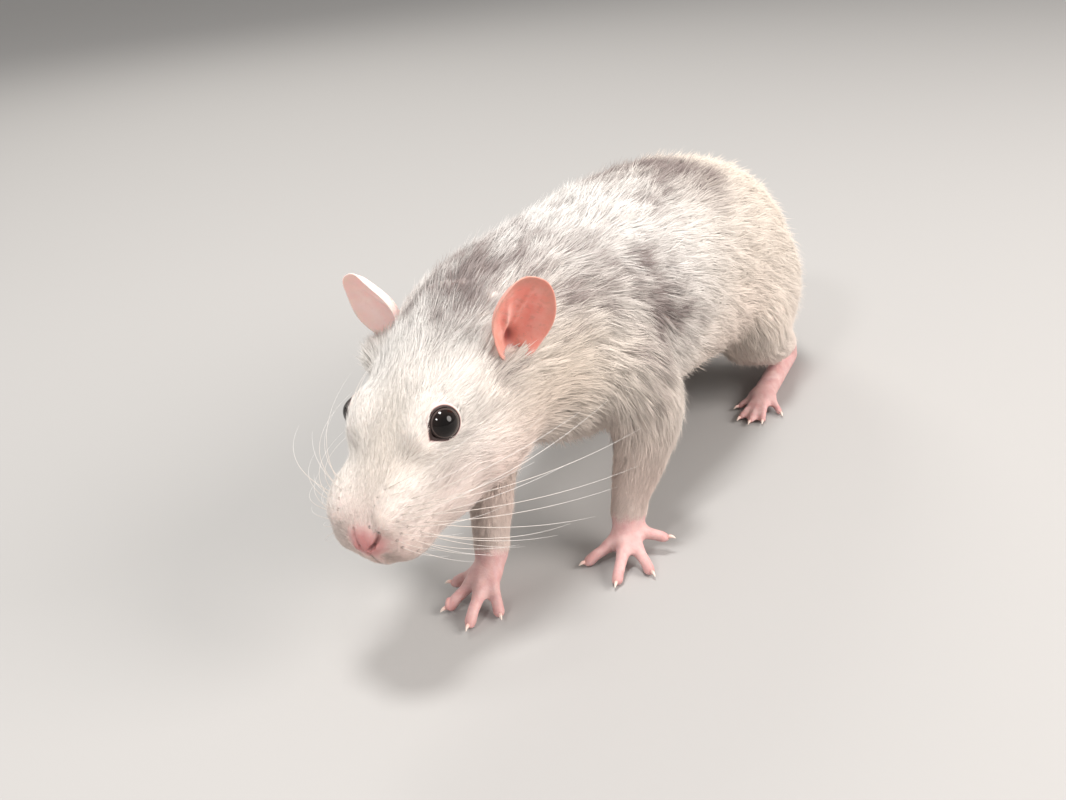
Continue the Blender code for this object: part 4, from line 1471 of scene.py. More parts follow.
@dataclass
class Skin:
    """The one skin over head, body, legs, paws and tail."""

    groom: Groom
    paws: Paws
    eyes: list[Eye]
    ears: list["Ear"]
    markings: Markings = Markings()
    finish: SkinFinish = SkinFinish()
    muzzle: Muzzle = Muzzle()
    voxel: float = 0.5 * MM
    closing: float = 0.2 * MM
    kept: float = 0.42
    floor: float = 0.02 * MM
    piece: Object = field(init=False)
    region: Rows = field(init=False)
    pits: Rows = field(init=False)

    @property
    def flesh(self) -> list[str]:
        """The solids' nodes that the skin stands for."""
        starts = tuple(region.value for region in REGIONS)
        return [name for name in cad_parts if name.startswith(starts)]

    def swollen(self, name: str) -> Form:
        """A node of the solids, grown so that it meets its neighbours.

        Args:
            name: the node's name.

        Returns:
            Its shape.
        """
        shape = bmesh.new()
        shape.from_mesh(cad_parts[name].data)
        bmesh.ops.remove_doubles(shape, verts=shape.verts, dist=0.002 * MM)
        bmesh.ops.triangulate(shape, faces=shape.faces)
        shape.normal_update()
        points = np.array([v.co + v.normal * self.closing for v in shape.verts])
        triangles = np.array([[v.index for v in face.verts] for face in shape.faces])
        shape.free()
        return Form(points, triangles)

    def envelope(self) -> Object:
        """The outline of the whole rat out to its coat, as one even mesh.

        Returns:
            The object, named skin.
        """
        paws = tuple(region.value for region in PAWS)
        forms = [self.swollen(name) for name in self.flesh if not name.startswith(paws)]
        forms += [self.swollen(f"eye_{side.word}") for side in Side]
        form = Form.joined(forms + self.paws.forms())
        rough = in_scene("skin", mesh_from("rough", form.points, form.triangles))
        remesh = rough.modifiers.new("even", "REMESH")
        remesh.mode = "VOXEL"
        remesh.voxel_size = self.voxel
        applied(rough)
        return rough

    def name_regions(self) -> None:
        """Finds the region of each point from the nearest node of the solids."""
        spots, labels = [], []
        for name in self.flesh:
            label = next(region.number for region in REGIONS if name.startswith(region.value))
            rows = points_of(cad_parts[name].data)
            spots.append(rows)
            labels += [label] * len(rows)
        tree = KDTree(len(labels))
        for i, spot in enumerate(np.vstack(spots)):
            tree.insert(spot, i)
        tree.balance()
        found = [tree.find(spot)[1] for spot in points_of(self.piece.data)]
        self.region = np.array(labels)[found]

    def is_region(self, *regions: Region) -> Rows:
        """Which points are in some regions."""
        return np.isin(self.region, [region.number for region in regions])

    def thin_out(self) -> None:
        """Thins the faces of body and legs, which the coat hides."""
        coated = ~self.is_region(Region.HEAD, *BARE)
        group = self.piece.vertex_groups.new(name="coated")
        group.add(np.flatnonzero(coated).tolist(), 1.0, "REPLACE")
        thin = self.piece.modifiers.new("thin", "DECIMATE")
        thin.ratio = self.kept
        thin.vertex_group = group.name
        applied(self.piece)
        self.name_regions()

    def refine(self, chosen: Rows) -> None:
        """Splits the faces between chosen points into four.

        Args:
            chosen: whether each point is chosen.
        """
        shape = bmesh.new()
        shape.from_mesh(self.piece.data)
        shape.edges.ensure_lookup_table()
        edges = [edge for edge in shape.edges if all(chosen[v.index] for v in edge.verts)]
        bmesh.ops.subdivide_edges(shape, edges=edges, cuts=1, use_grid_fill=True)
        shape.to_mesh(self.piece.data)
        shape.free()

    def near(self, frame_of: Matrix, spot: Spot, reach: float) -> Rows:
        """Which points lie within a reach, in millimetres, of a spot of a frame."""
        spots = seen_from(points_of(self.piece.data), frame_of)
        return lengths(spots - np.array(spot)) < reach

    def grounded(self, spots: Sequence[Spot]) -> Rows:
        """Spots of the head's frame, brought onto the skin.

        Args:
            spots: rows of x, y, z in millimetres.

        Returns:
            The spots in metres of the model.
        """
        mesh, wanted = self.piece.data, placed(np.array(spots), HEAD)
        tree = BVHTree.FromPolygons(points_of(mesh).tolist(), triangles_of(mesh).tolist())
        return np.array([tree.find_nearest(Vector(spot))[0] for spot in wanted])

    def dress(self) -> None:
        """Keeps what the material reads: where hair grows, where blood shows, the tail's rings."""
        mesh = self.piece.data
        points = points_of(mesh)
        _, _, depth = self.groom.at(points)
        spots, head = seen_from(points, BODY), seen_from(points, HEAD)
        nose, lips = self.muzzle.from_pad(head), self.muzzle.on_lips(head)
        fur = rise(depth / MM, 0.06, 0.3) * ~self.is_region(*BARE)
        fur = fur * (0.42 + 0.58 * rise(nose, 2.0, 5.0)) * rise(nose, 1.3, 3.4)
        fur = fur * (1 - 0.35 * lips)
        flush = np.maximum(0.9 * fall(nose, 1.2, 4.6), 0.4 * lips)
        rim = np.zeros(len(points))
        for eye in self.eyes:
            out, away, front = eye.outside(points)
            close = front & (away < 7)
            rim = np.where(close, np.maximum(rim, 1 - rise(out, 0.22, 0.50)), rim)
            margin = 0.55 * fall(out, 0.4, 1.3)
            flush = np.where(close, np.maximum(flush, margin), flush)
            fur = np.where(close, fur * rise(out, 0.2, 0.7), fur)
        for ear in self.ears:
            bald = ear.bald(points)
            fur = fur * (1 - bald)
            flush = np.maximum(flush, 0.5 * bald)
        for digit in self.paws.digits:
            away = lengths(spots - digit.tip)
            flush = np.maximum(flush, 0.42 * fall(away, 1.0, 4.5))
        flush = np.maximum(flush, 0.22 * self.is_region(*PAWS))
        tail = self.is_region(Region.TAIL)
        marks = {
            "ring": self.along_tail(spots, tail) / TAIL_RING,
            "ringed": tail.astype(float),
            "fur": fur,
            "rim": rim,
            "flush": flush,
            # Dark dots at the whiskers' pits and painted shade in the nostrils' slits
            "pit": self.pitted(points, head),
        }
        for name, values in marks.items():
            paint(mesh, name, values)
        self.markings.onto(mesh, points)
        mesh.materials.append(self.finish.material())

    def pitted(self, points: Rows, head: Rows) -> Rows:
        """How dark painted nostril shade and the whiskers' pits make each point; keeps the pits'
        places.

        Args:
            points: the points.
            head: the same points in the head's frame.

        Returns:
            One number from 0 to 1 for each point.
        """
        self.pits = self.grounded([side.of(row[:3]) for side in Side for row in FOLLICLES])
        # Painted shade in the nostrils' slits
        dark = 0.5 * self.muzzle.in_slit(head)
        for spot in self.pits:
            away = lengths(points - spot) / MM
            dark = np.maximum(dark, 0.8 * fall(away, 0.15, 0.45))
        return dark

    @staticmethod
    def along_tail(spots: Rows, tail: Rows) -> Rows:
        """How far along the tail each of its points is.

        Args:
            spots: rows of x, y, z of the body's frame.
            tail: which of them are the tail's.

        Returns:
            One distance for each spot, 0 off the tail.
        """
        line = curve_through(TAIL_LINE, 400)[:, :3]
        steps = np.concatenate([[0], np.cumsum(lengths(np.diff(line, axis=0)))])
        rows = spots[tail]
        nearest, found = np.full(len(rows), np.inf), np.zeros(len(rows))
        for spot, step in zip(line, steps):
            away = ((rows - spot) ** 2).sum(1)
            found = np.where(away < nearest, step, found)
            nearest = np.minimum(nearest, away)
        along = np.zeros(len(spots))
        along[tail] = found
        return along

    def build(self) -> Object:
        """The skin.

        Returns:
            The piece.
        """
        self.piece = self.envelope()
        mesh = self.piece.data
        self.name_regions()
        edges = edges_of(mesh)
        fine = self.is_region(Region.HEAD, *BARE)
        points = relaxed(points_of(mesh), edges, np.where(fine, *EVENING[:2]), EVENING[2])
        move_points(mesh, points)
        _, _, depth = self.groom.at(points)
        bare = self.is_region(*BARE)
        coated = np.column_stack([~bare] * 3).astype(float)
        share = relaxed(coated, edges, np.full(len(points), COAT_EDGE[0]), COAT_EDGE[1])
        points = points - normals_of(mesh) * (depth * share[:, 0] + self.closing * 0.8)[:, None]
        points = relaxed(points, edges, np.full(len(points), SINKING[0]), SINKING[1])
        move_points(mesh, points)
        self.thin_out()
        paws = self.is_region(*PAWS)
        self.refine(paws | self.near(HEAD, *MUZZLE_FINE) | self.near_eyes(EYES_FINE))
        self.refine(self.near(HEAD, *NOSE_FINER) | self.near_eyes(LIDS_FINER))
        mesh = self.piece.data
        self.name_regions()
        points = points_of(mesh)
        soft = np.where(self.is_region(Region.HEAD, *PAWS), *LAST_RUB[:2])
        points = relaxed(points, edges_of(mesh), soft, LAST_RUB[2])
        for eye in self.eyes:
            points = eye.lids(points)
        for ear in self.ears:
            points = ear.cleared(points)
        points = self.muzzle.sculpted(points)
        points[:, 2] = np.maximum(points[:, 2], self.floor)
        move_points(mesh, points)
        mesh.shade_smooth()
        self.dress()
        return settled(self.piece, "pink_skin", *self.flesh)

    def near_eyes(self, reach: float) -> Rows:
        """Which points are near an eye."""
        spots = [self.near(eye.place, (0, 0, 0), reach) for eye in self.eyes]
        return spots[0] | spots[1]


@dataclass(frozen=True)
class EarStance:
    """How one ear grows: its root, its lean and facing in degrees, and its size.

    The foot is how far up the ear the hair at its foot stands, and half is half its width.
    """

    root: tuple
    out: float
    back: float
    facing: float
    length: float
    half: float
    foot: float


EARS = {
    Side.LEFT: EarStance((14.8, 43.0, 5.3), 24.0, 17.0, 50.0, 19.7, 6.6, 3.3),
    Side.RIGHT: EarStance((-14.7, 44.2, 4.9), 21.0, 11.0, 4.0, 19.0, 7.0, 7.0),
}


@dataclass
class Ear:
    """One ear: a thin cup with a rolled rim, a fold inside its front edge and a hollow darkened by
    painted shade.
    """

    side: Side
    cup: float = 2.9
    fold: float = 1.3
    well: float = 1.6
    ridge: float = 0.4
    roll: float = 0.75
    thickness: float = 0.55
    rings: int = 34
    spokes: int = 88

    @property
    def stance(self) -> EarStance:
        """How this ear grows."""
        return EARS[self.side]

    @property
    def place(self) -> Matrix:
        """The ear's frame: x across towards its outer edge, y along it, z out of its cup.

        Returns:
            The matrix of the frame.
        """
        angles = (self.stance.out, self.stance.back, self.stance.facing)
        out, back, facing = (math.radians(angle) for angle in angles)
        sign, level = self.side.value, math.cos(back)
        along = Vector((sign * math.sin(out) * level, math.sin(back), math.cos(out) * level))
        front = Vector((sign * math.sin(facing), -math.cos(facing), 0))
        front = (front - along * front.dot(along)).normalized()
        across = along.cross(front) * sign
        turn = Matrix((across, along, front)).transposed().to_4x4()
        return HEAD @ Matrix.Translation(Vector(self.stance.root) * MM) @ turn

    @staticmethod
    def hump(across: Rows, half: float, along: Rows, tall: float) -> Rows:
        """A soft hump, 1 where both places are 0, with its reach each way."""
        return np.exp(-((across / half) ** 2) - (along / tall) ** 2)

    def surface(self, along: Rows, across: Rows) -> Rows:
        """Points of the cup in the ear's frame.

        Args:
            along: -1 at the root and 1 at the tip.
            across: -1 at the front edge and 1 at the back one.

        Returns:
            Rows of x, y, z in millimetres.
        """
        half = self.stance.length / 2
        reach = np.hypot(along, across)
        narrow = 1 - 0.26 * ((1 - along) / 2) ** 2
        deep = self.cup * (1 - reach**2) * (1.15 - 0.45 * along)
        well = self.well * self.hump(across + 0.18, 0.26, along + 0.56, 0.26)
        fold = self.fold * self.hump(across + 0.35, 0.13, along + 0.12, 0.34)
        ridge = self.ridge * self.hump(across - 0.05 - 0.3 * along, 0.09, along - 0.1, 0.45)
        roll = self.roll * rise(reach, 0.86, 1.0) * rise(-across, -0.2, 0.7)
        wave = 0.25 * np.sin(5 * np.arctan2(across, along)) * reach**3
        height = fold + ridge + roll + wave - deep - well
        inward = 1 - 0.05 * rise(reach, 0.9, 1.0) * rise(-across, 0.0, 0.8)
        wide = across * self.stance.half * narrow * inward
        return np.column_stack([wide, half * (1 + along), height])

    def over(self, points: Rows) -> tuple[Rows, Rows, Rows]:
        """Where points lie about the cup.

        Args:
            points: the points.

        Returns:
            The points in the ear's frame in millimetres, their reach from the cup's middle, 1 at
            its rim, and their height over its surface in millimetres.
        """
        spots = seen_from(points, self.place)
        half = self.stance.length / 2
        along = spots[:, 1] / half - 1
        narrow = 1 - 0.26 * (np.clip(1 - along, 0, 2) / 2) ** 2
        across = spots[:, 0] / (self.stance.half * narrow)
        reach = np.hypot(along, across)
        ground = self.surface(np.clip(along, -1, 1), np.clip(across, -1, 1))[:, 2]
        return spots, reach, spots[:, 2] - np.where(reach < 1.6, ground, -99)

    def cleared(self, points: Rows) -> Rows:
        """Skin points in front of the cup, pressed back behind it so that it opens to its foot.

        Args:
            points: the points.

        Returns:
            The points with those in front of the cup moved.
        """
        spots, reach, over = self.over(points)
        pressed = np.maximum(over + 0.8, 0) * fall(reach, 0.9, 1.3)
        foot = self.stance.foot
        pressed = pressed * rise(spots[:, 1], foot - 2.2, foot)
        spots[:, 2] -= np.where((over < 9) & (spots[:, 1] < 12), pressed, 0)
        return placed(spots, self.place)

    def bald(self, points: Rows) -> Rows:
        """How bare the skin in the cup is, from 0 to 1.

        Args:
            points: the points.

        Returns:
            One share for each point.
        """
        places, reach, over = self.over(points)
        inside = (over > -0.9) * (over < 3) * (places[:, 1] > self.stance.foot - 1.0)
        return fall(reach, 0.86, 1.0) * inside

    def form(self) -> tuple[Form, Rows, Rows]:
        """Both faces of the cup and its rim, with where each point lies along and across.

        Returns:
            The shape, and for each of its points the two places on the cup.
        """
        spin = np.linspace(0, 2 * math.pi, self.spokes, endpoint=False)
        share = np.linspace(0.02, 1.0, self.rings) ** 0.85
        reach = share[:, None] * np.ones(self.spokes)
        along, across = reach * np.cos(spin), reach * np.sin(spin)
        inner = self.surface(along.ravel(), across.ravel()).reshape(self.rings, self.spokes, 3)
        down = np.gradient(inner, axis=0)
        beside = np.roll(inner, -1, axis=1) - np.roll(inner, 1, axis=1)
        facing = unit(np.cross(down, beside))
        facing = facing * np.sign(facing[:, :, 2:3] + 1e-9)
        thin = self.thickness * (1 - 0.45 * share[:, None, None] ** 3)
        thin = thin * (1 + 0.9 * rise(-along, 0.3, 0.9))[:, :, None]
        outer = inner - facing * thin
        outward = unit(inner[-1] - inner[-3])
        lip = (inner[-1] + outer[-1]) / 2 + outward * self.thickness * 0.3
        rings = np.concatenate([inner, lip[None], outer[::-1]])
        spots = placed(rings.reshape(-1, 3), self.place).reshape(rings.shape)
        where_along = np.concatenate([along, along[-1:], along[::-1]]).ravel()
        where_across = np.concatenate([across, across[-1:], across[::-1]]).ravel()
        return (
            Form.rings(spots),
            np.append(where_along, (0, 0)),
            np.append(where_across, (0, 0)),
        )

    def build(self) -> Object:
        """The ear.

        Returns:
            The piece.
        """
        form, along, across = self.form()
        mesh = mesh_from("ear", form.points, form.triangles)
        reach = np.hypot(along, across)
        edge = np.maximum(rise(reach, 0.55, 0.95), 0.8 * rise(-across, 0.55, 0.8))
        dusk = edge * rise(along, -0.9, 0.2) * 0.75
        # A painted highlight along the fold inside the cup
        pale = self.hump(across + 0.35, 0.16, along + 0.12, 0.3) * 0.7
        # Painted shade in the hollow at the foot of the cup
        hollow_shade = self.hump(across + 0.2, 0.18, along + 0.58, 0.14)
        inside = np.arange(len(form.points)) < self.rings * self.spokes
        paint(mesh, "dusk", dusk)
        paint(mesh, "pale", np.where(inside, pale, 0.3))
        paint(mesh, "hollow_shade", np.where(inside, np.clip(hollow_shade * 1.3, 0, 1), 0))
        paint(mesh, "root", seen_from(form.points, self.place))
        mesh.materials.append(EAR_FINISHES[self.side].material())
        word = self.side.word
        return settled(in_scene(f"ear_skin_{word}", mesh), "ear_skin", f"ear_{word}")


# The waves that the coat's lie wanders by: radians a millimetre along each axis, and a start
SWIRL = (
    ((0.31, 0.23, -0.27), 0.3), ((-0.52, 0.33, 0.41), 1.9), ((0.74, -0.61, 0.38), 4.1),
    ((-0.95, 1.1, -0.8), 2.6),
)
# The faces of one tuft between its three points at the root and its tip
SPIKE = ((0, 2, 1), (0, 1, 3), (1, 2, 3), (2, 0, 3))
# A tuft's patch of the coat's map, round its root's place on the unwrap, and its half width there
PATCH = ((-1.0, -1.0), (1.0, -1.0), (0.0, -0.4), (0.0, 1.0))
PATCH_REACH = 0.0015


@dataclass
class Coat:
    """The short coat, in thin closed tufts that lie along the skin, drawn together in locks.

    A spread is the least and the most of what is drawn at random for a tuft.
    """

    skin: Skin
    finish: CoatFinish = CoatFinish()
    cover: float = 7.4
    most_triangles: int = 196_000
    roundness: float = 0.5
    lock: float = 22
    lock_on_head: float = 9
    wander: float = 0.24
    unrest: float = 0.17
    strays: float = 0.08
    strays_on_head: float = 0.16
    length_spread: tuple = (0.72, 1.2)
    width_spread: tuple = (0.75, 1.2)
    height_spread: tuple = (0.45, 1.0)
    stray_spread: tuple = (0.2, 1.1)
    sunk: float = 0.2 * MM
    ridge_height: float = 0.4
    lock_turn: float = 0.75
    tip_lean: float = 0.2
    calm_below: float = 3.2 * MM
    full_pull: float = 2.4 * MM
    random: np.random.Generator = field(default_factory=lambda: np.random.default_rng(SEED))

    def width(self, length: Rows) -> Rows:
        """How wide a tuft is for its length, in metres."""
        return (0.055 + 0.036 * (length / MM) ** 0.8) * MM

    def density(self, length: Rows) -> Rows:
        """How many tufts a square metre of skin bears where they have some length."""
        return self.cover / (0.6 * length * self.width(length))

    def sown(self) -> tuple[Rows, Rows, Rows]:
        """Roots spread over the skin, closer where the hair is shorter.

        Returns:
            The roots, the skin's normals there and their regions.
        """
        mesh = self.skin.piece.data
        points, normals = points_of(mesh), normals_of(mesh)
        triangles = triangles_of(mesh)
        _, length, _ = self.skin.groom.at(points)
        fur = rows_of(mesh.attributes["fur"].data, "value", np.float32, 1)[:, 0]
        density = self.density(length) * rise(fur, 0.12, 0.60)
        a, b, c = (points[triangles[:, i]] for i in range(3))
        area = lengths(np.cross(b - a, c - a)) / 2
        mass = np.cumsum(area * density[triangles].mean(1))
        count = int(mass[-1])
        wanted = (np.arange(count) + self.random.random(count)) * mass[-1] / count
        chosen = np.minimum(np.searchsorted(mass, wanted), len(triangles) - 1)
        u, v = self.random.random((2, count))
        over = u + v > 1
        u, v = np.where(over, 1 - u, u), np.where(over, 1 - v, v)
        share = np.column_stack([1 - u - v, u, v])[:, :, None]
        corners = triangles[chosen]
        roots = (points[corners] * share).sum(1)
        facing = unit((normals[corners] * share).sum(1))
        return roots, facing, self.skin.region[corners[:, 0]]

    def swirl(self, points: Rows) -> Rows:
        """A slow wander of the coat's lie, from about -1 to 1.

        Args:
            points: the points.

        Returns:
            One number for each point.
        """
        spots = points / MM
        total = np.zeros(len(points))
        for wave, shift in SWIRL:
            total += np.sin(spots @ np.array(wave) + shift)
        return total / 2.2

    def laid(self, spots: Rows, height: Rows, tree: BVHTree) -> tuple[Rows, Rows]:
        """Spots brought to a height over the skin.

        Args:
            spots: rows of x, y, z in metres.
            height: the height of each, in metres.
            tree: the skin's faces.

        Returns:
            The new spots and the skin's normals below them.
        """
        made, normals = np.empty_like(spots), np.empty_like(spots)
        for i, (spot, up) in enumerate(zip(spots, height)):
            ground, normal, _, _ = tree.find_nearest(Vector(spot))
            made[i] = ground + normal * up
            normals[i] = normal
        return made, normals

    def clear(self, spots: Rows, by: float) -> Rows:
        """Which spots are off the opening between the lids, an ear's cup and the whiskers' pits.

        Args:
            spots: rows of x, y, z in metres.
            by: how far off the lids a spot has to be, in millimetres.

        Returns:
            Whether each spot is clear.
        """
        clear = np.ones(len(spots), bool)
        for ear in self.skin.ears:
            places, reach, over = ear.over(spots)
            above = places[:, 1] > ear.stance.foot
            clear &= ~((reach < 0.92) & (over > -0.6) & (over < 7) & above)
        for eye in self.skin.eyes:
            out, away, front = eye.outside(spots)
            clear &= ~(front & (away < 7) & (out < by))
        for pit in self.skin.pits:
            clear &= lengths(spots - pit) > 0.3 * MM
        return clear

    def parted(self, way: Rows, roots: Rows) -> Rows:
        """The coat's lie, led round the eyes.

        Args:
            way: the lie at each root.
            roots: the roots in metres.

        Returns:
            The new lie.
        """
        for eye in self.skin.eyes:
            off = roots - np.array(eye.place.translation)
            near = np.exp(-((lengths(off) / (5.5 * MM)) ** 2))
            way = way + unit(off) * (0.8 * near)[:, None]
        return way

    def tufts(self) -> dict[str, Rows]:
        """Every tuft's root, lie and size.

        Returns:
            Rows for each tuft, by name.
        """
        roots, up, region = self.sown()
        way, length, depth = self.skin.groom.at(roots)
        way = self.parted(way, roots)
        way = unit(way - up * (way * up).sum(1, keepdims=True))
        side = np.cross(up, way)
        count = len(roots)
        turn = self.wander * self.swirl(roots) + self.random.normal(0, self.unrest, count)
        way = way * np.cos(turn)[:, None] + side * np.sin(turn)[:, None]
        length = length * self.random.uniform(*self.length_spread, count)
        tips = roots + way * length[:, None]
        tips, lock, across = self.clumped(roots, tips, side, depth, length, region)
        graph = bpy.context.evaluated_depsgraph_get()
        tree = BVHTree.FromObject(self.skin.piece, graph)
        strays = np.where(region == Region.HEAD.number, self.strays_on_head, self.strays)
        stray = self.random.random(count) < strays
        lift = 0.65 + 0.65 * self.random.random(count)[lock] ** 1.5
        height = self.random.uniform(*self.height_spread, count) * lift
        height += stray * self.random.uniform(*self.stray_spread, count)
        tips, above = self.laid(tips, depth * height, tree)
        keep = self.clear(tips, 0.1) & self.clear((roots + tips) / 2, 0.1) & self.clear(roots, 0.2)
        keep &= tips[:, 2] > 0.1 * MM
        found = {
            "roots": roots, "tips": tips, "up": up, "above": above, "region": region,
            "width": self.width(length) * self.random.uniform(*self.width_spread, count),
            "tone": 0.4 * self.random.random(count) + 0.6 * self.random.random(count)[lock],
            "across": across,
        }
        return {name: values[keep] for name, values in found.items()}

    def clumped(
        self,
        roots: Rows,
        tips: Rows,
        side: Rows,
        depth: Rows,
        length: Rows,
        region: Rows,
    ) -> tuple[Rows, Rows, Rows]:
        """Tips drawn together in small locks, more where the coat is deeper.

        Args:
            roots: the roots.
            tips: the tips.
            side: the way across each tuft.
            depth: the coat's depth at each.
            length: the length of each.
            region: the region of each.

        Returns:
            The tips, the tuft that leads each one's lock, and how far across its lock each
            one stands, from -1 to 1.
        """
        few = np.where(region == Region.HEAD.number, self.lock_on_head, self.lock)
        leaders = np.flatnonzero(self.random.random(len(roots)) < 1 / few)
        tree = KDTree(len(leaders))
        for leader in leaders:
            tree.insert(roots[leader], int(leader))
        tree.balance()
        nearest = np.array([tree.find(spot)[1] for spot in roots])
        off = roots - roots[nearest]
        pull = np.clip(depth / self.full_pull, 0.15, 0.62)
        pull *= self.random.uniform(0.3, 1.0, len(roots))
        half = np.sqrt(few / (math.pi * self.density(length)))
        across = np.clip((off * side[nearest]).sum(1) / half, -1, 1)
        calm = np.clip(length / self.calm_below, 0, 1) ** 2
        across = across * np.where(few == self.lock_on_head, 1.0, calm)
        return tips + (tips[nearest] + off * 0.25 - tips) * pull[:, None], nearest, across

    def mesh(self, name: str, tuft: dict[str, Rows]) -> Mesh:
        """The mesh of some tufts, each a slim closed spike with three points round its root.

        Args:
            name: the mesh's name.
            tuft: their roots, tips, widths and so on.

        Returns:
            The mesh with what its material reads and the map of its patches.
        """
        count = len(tuft["roots"])
        start = tuft["roots"] - tuft["up"] * self.sunk
        way = unit(tuft["tips"] - start)
        side = unit(np.cross(tuft["up"], way))
        half = side * (tuft["width"] / 2)[:, None]
        ridge = np.cross(way, side) * (tuft["width"] * self.ridge_height)[:, None]
        spots = np.stack([start - half, start + half, start + ridge, tuft["tips"]], axis=1)
        lean = side * self.roundness
        own = tuft["up"] + side * (self.lock_turn * tuft["across"])[:, None]
        tip = tuft["above"] + own - tuft["up"] + way * self.tip_lean
        facing = unit(np.stack([own - lean, own + lean, own, tip], axis=1))
        corners = (np.arange(count)[:, None, None] * 4 + np.array(SPIKE)).reshape(-1, 3)
        mesh = mesh_from(name, spots.reshape(-1, 3), corners)
        mesh.normals_split_custom_set_from_vertices(facing.reshape(-1, 3).tolist())
        self.skin.markings.onto(mesh, tuft["roots"], 4)
        # 0 at each tuft's root and 1 at its tip, for the coat's painted shade towards the root
        paint(mesh, "reach", np.tile((0.0, 0.0, 0.0, 1.0), count))
        paint(mesh, "tone", np.repeat(tuft["tone"], 4))
        spots = (tuft["atlas"][:, None, :] + np.array(PATCH) * PATCH_REACH).reshape(-1, 2)
        layer = mesh.uv_layers.new(name="OFBake")
        layer.data.foreach_set("uv", spots[corners.ravel()].astype(np.float32).ravel())
        return mesh

    @staticmethod
    def unwrapped(points: Rows, region: Region) -> Rows:
        """Where roots lie on an unwrap of their stretch of skin, from 0 to 1.

        Args:
            points: the roots in metres.
            region: the stretch of skin.

        Returns:
            How far round it and how far along it each root lies.
        """
        spots = seen_from(points, HEAD if region is Region.HEAD else BODY)
        middle = spots.mean(0)
        off = spots - middle
        if region in (Region.FORELEG, Region.HINDLEG):
            around, along = np.arctan2(off[:, 0], -off[:, 1]), spots[:, 2]
        else:
            around, along = np.arctan2(off[:, 0], off[:, 2]), spots[:, 1]
        low, high = along.min(), along.max()
        first, last = around.min(), around.max()
        return 0.01 + 0.98 * np.column_stack([
            (around - first) / max(last - first, 1e-9),
            (along - low) / max(high - low, 1e-9),
        ])

    def build(self) -> list[Object]:
        """The whole coat, in pieces by region and side.

        Returns:
            The pieces.
        """
        material = self.finish.material()
        tuft = self.tufts()
        log.info("coat: %d tufts", len(tuft["roots"]))
        made = []
        middle = seen_from(tuft["roots"], BODY)[:, 0]
        head = seen_from(tuft["roots"], HEAD)[:, 0]
        for region in REGIONS:
            if region.bare:
                continue
            sideways = head if region is Region.HEAD else middle
            for side in Side:
                chosen = (tuft["region"] == region.number) & (sideways * side.value >= 0)
                chosen &= (sideways != 0) | (side is Side.LEFT)
                made += self.pieces(region, side, chosen, tuft, material)
        return made

    def pieces(
        self,
        region: Region,
        side: Side,
        group: Rows,
        tuft: dict[str, Rows],
        material: Material,
    ) -> list[Object]:
        """One group of tufts, in as many pieces as the most triangles of a piece ask for.

        Args:
            region: the stretch of skin they grow on.
            side: the side they grow on.
            group: which tufts they are.
            tuft: all tufts.
            material: the coat's material.

        Returns:
            The pieces.
        """
        numbers = np.flatnonzero(group)
        numbers = numbers[np.argsort(tuft["roots"][numbers, 1])]
        parts = math.ceil(len(numbers) * len(SPIKE) / self.most_triangles)
        made = []
        for part, some in enumerate(np.array_split(numbers, parts)):
            own = {name: values[some] for name, values in tuft.items()}
            own["atlas"] = self.unwrapped(own["roots"], region)
            name = f"coat_{region.value}_{side.word}" + (f"_{part + 1}" if parts > 1 else "")
            mesh = self.mesh(name, own)
            mesh.materials.append(material)
            made.append(settled(in_scene(name, mesh), "white_coat"))
        return made


@dataclass
class Whiskers:
    """The long hairs of the muzzle, one in each pit of a pad, with a few over the eyes."""

    skin: Skin
    steps: int = 18
    corners: int = 5
    thickness: float = 0.08
    stout_from: float = 32
    spread: float = 0.09
    droop: tuple = (-0.30, 0.34, -0.20)
    highest_rise: float = 0.16
    random: np.random.Generator = field(default_factory=lambda: np.random.default_rng(SEED + 1))

    def line(self, side: Side, row: Spot, start: Rows) -> Rows:
        """One whisker.

        Args:
            side: the side of the face.
            row: its place on the left side and its length.
            start: where it leaves the skin, in the head's millimetres.

        Returns:
            Rows of x, y, z and radius in metres of the model.
        """
        _, y, z, length = row
        shares = np.linspace(0, 1, self.steps)
        swept = np.array((1.0, 0.09 * (y - 4), min(0.13 * z - 0.30, self.highest_rise)))
        swept += self.random.normal(0, self.spread, 3)
        way = unit(np.array(side.of(swept)))
        length = length * self.random.uniform(0.88, 1.08)
        droop = np.array(side.of(self.droop)) * length * self.random.uniform(0.7, 1.3)
        spots = start + way * length * shares[:, None] + droop * shares[:, None] ** 2
        spots[0] = start - way * 0.4
        spots = placed(spots, HEAD)
        spots[:, 2] = np.maximum(spots[:, 2], 0.6 * MM)
        thick = self.thickness * (0.4 + 0.6 * min(length / self.stout_from, 1))
        return np.column_stack([spots, thick * (1 - 0.85 * shares) * MM])

    def build(self) -> Object:
        """The whiskers.

        Returns:
            The piece.
        """
        forms = []
        for side in Side:
            rows = FOLLICLES + FEELERS
            starts = seen_from(self.skin.grounded([side.of(row[:3]) for row in rows]), HEAD)
            lines = [self.line(side, row, start) for row, start in zip(rows, starts)]
            forms += [Form.tube(line, self.corners) for line in lines]
        return settled(horn("whiskers", forms, self.steps, WHISKER_HORN), "white_coat")


@dataclass(frozen=True)
class Lamp:
    """A round soft light: its place and width in metres, its power in watts and its colour."""

    name: str
    spot: tuple
    size: float
    power: float
    colour: tuple


LAMPS = (
    Lamp("key", (0.03, -0.13, 1.10), 0.24, 8.1, (1.0, 0.98, 0.955)),
    Lamp("front", (-0.05, -0.86, 0.76), 0.16, 3.6, (1.0, 0.97, 0.945)),
    Lamp("edge", (-0.65, 0.55, 0.75), 0.40, 3.6, (1.0, 0.96, 0.90)),
    Lamp("fill", (0.84, 0.10, 0.52), 0.60, 9.6, (1.0, 0.93, 0.885)),
)


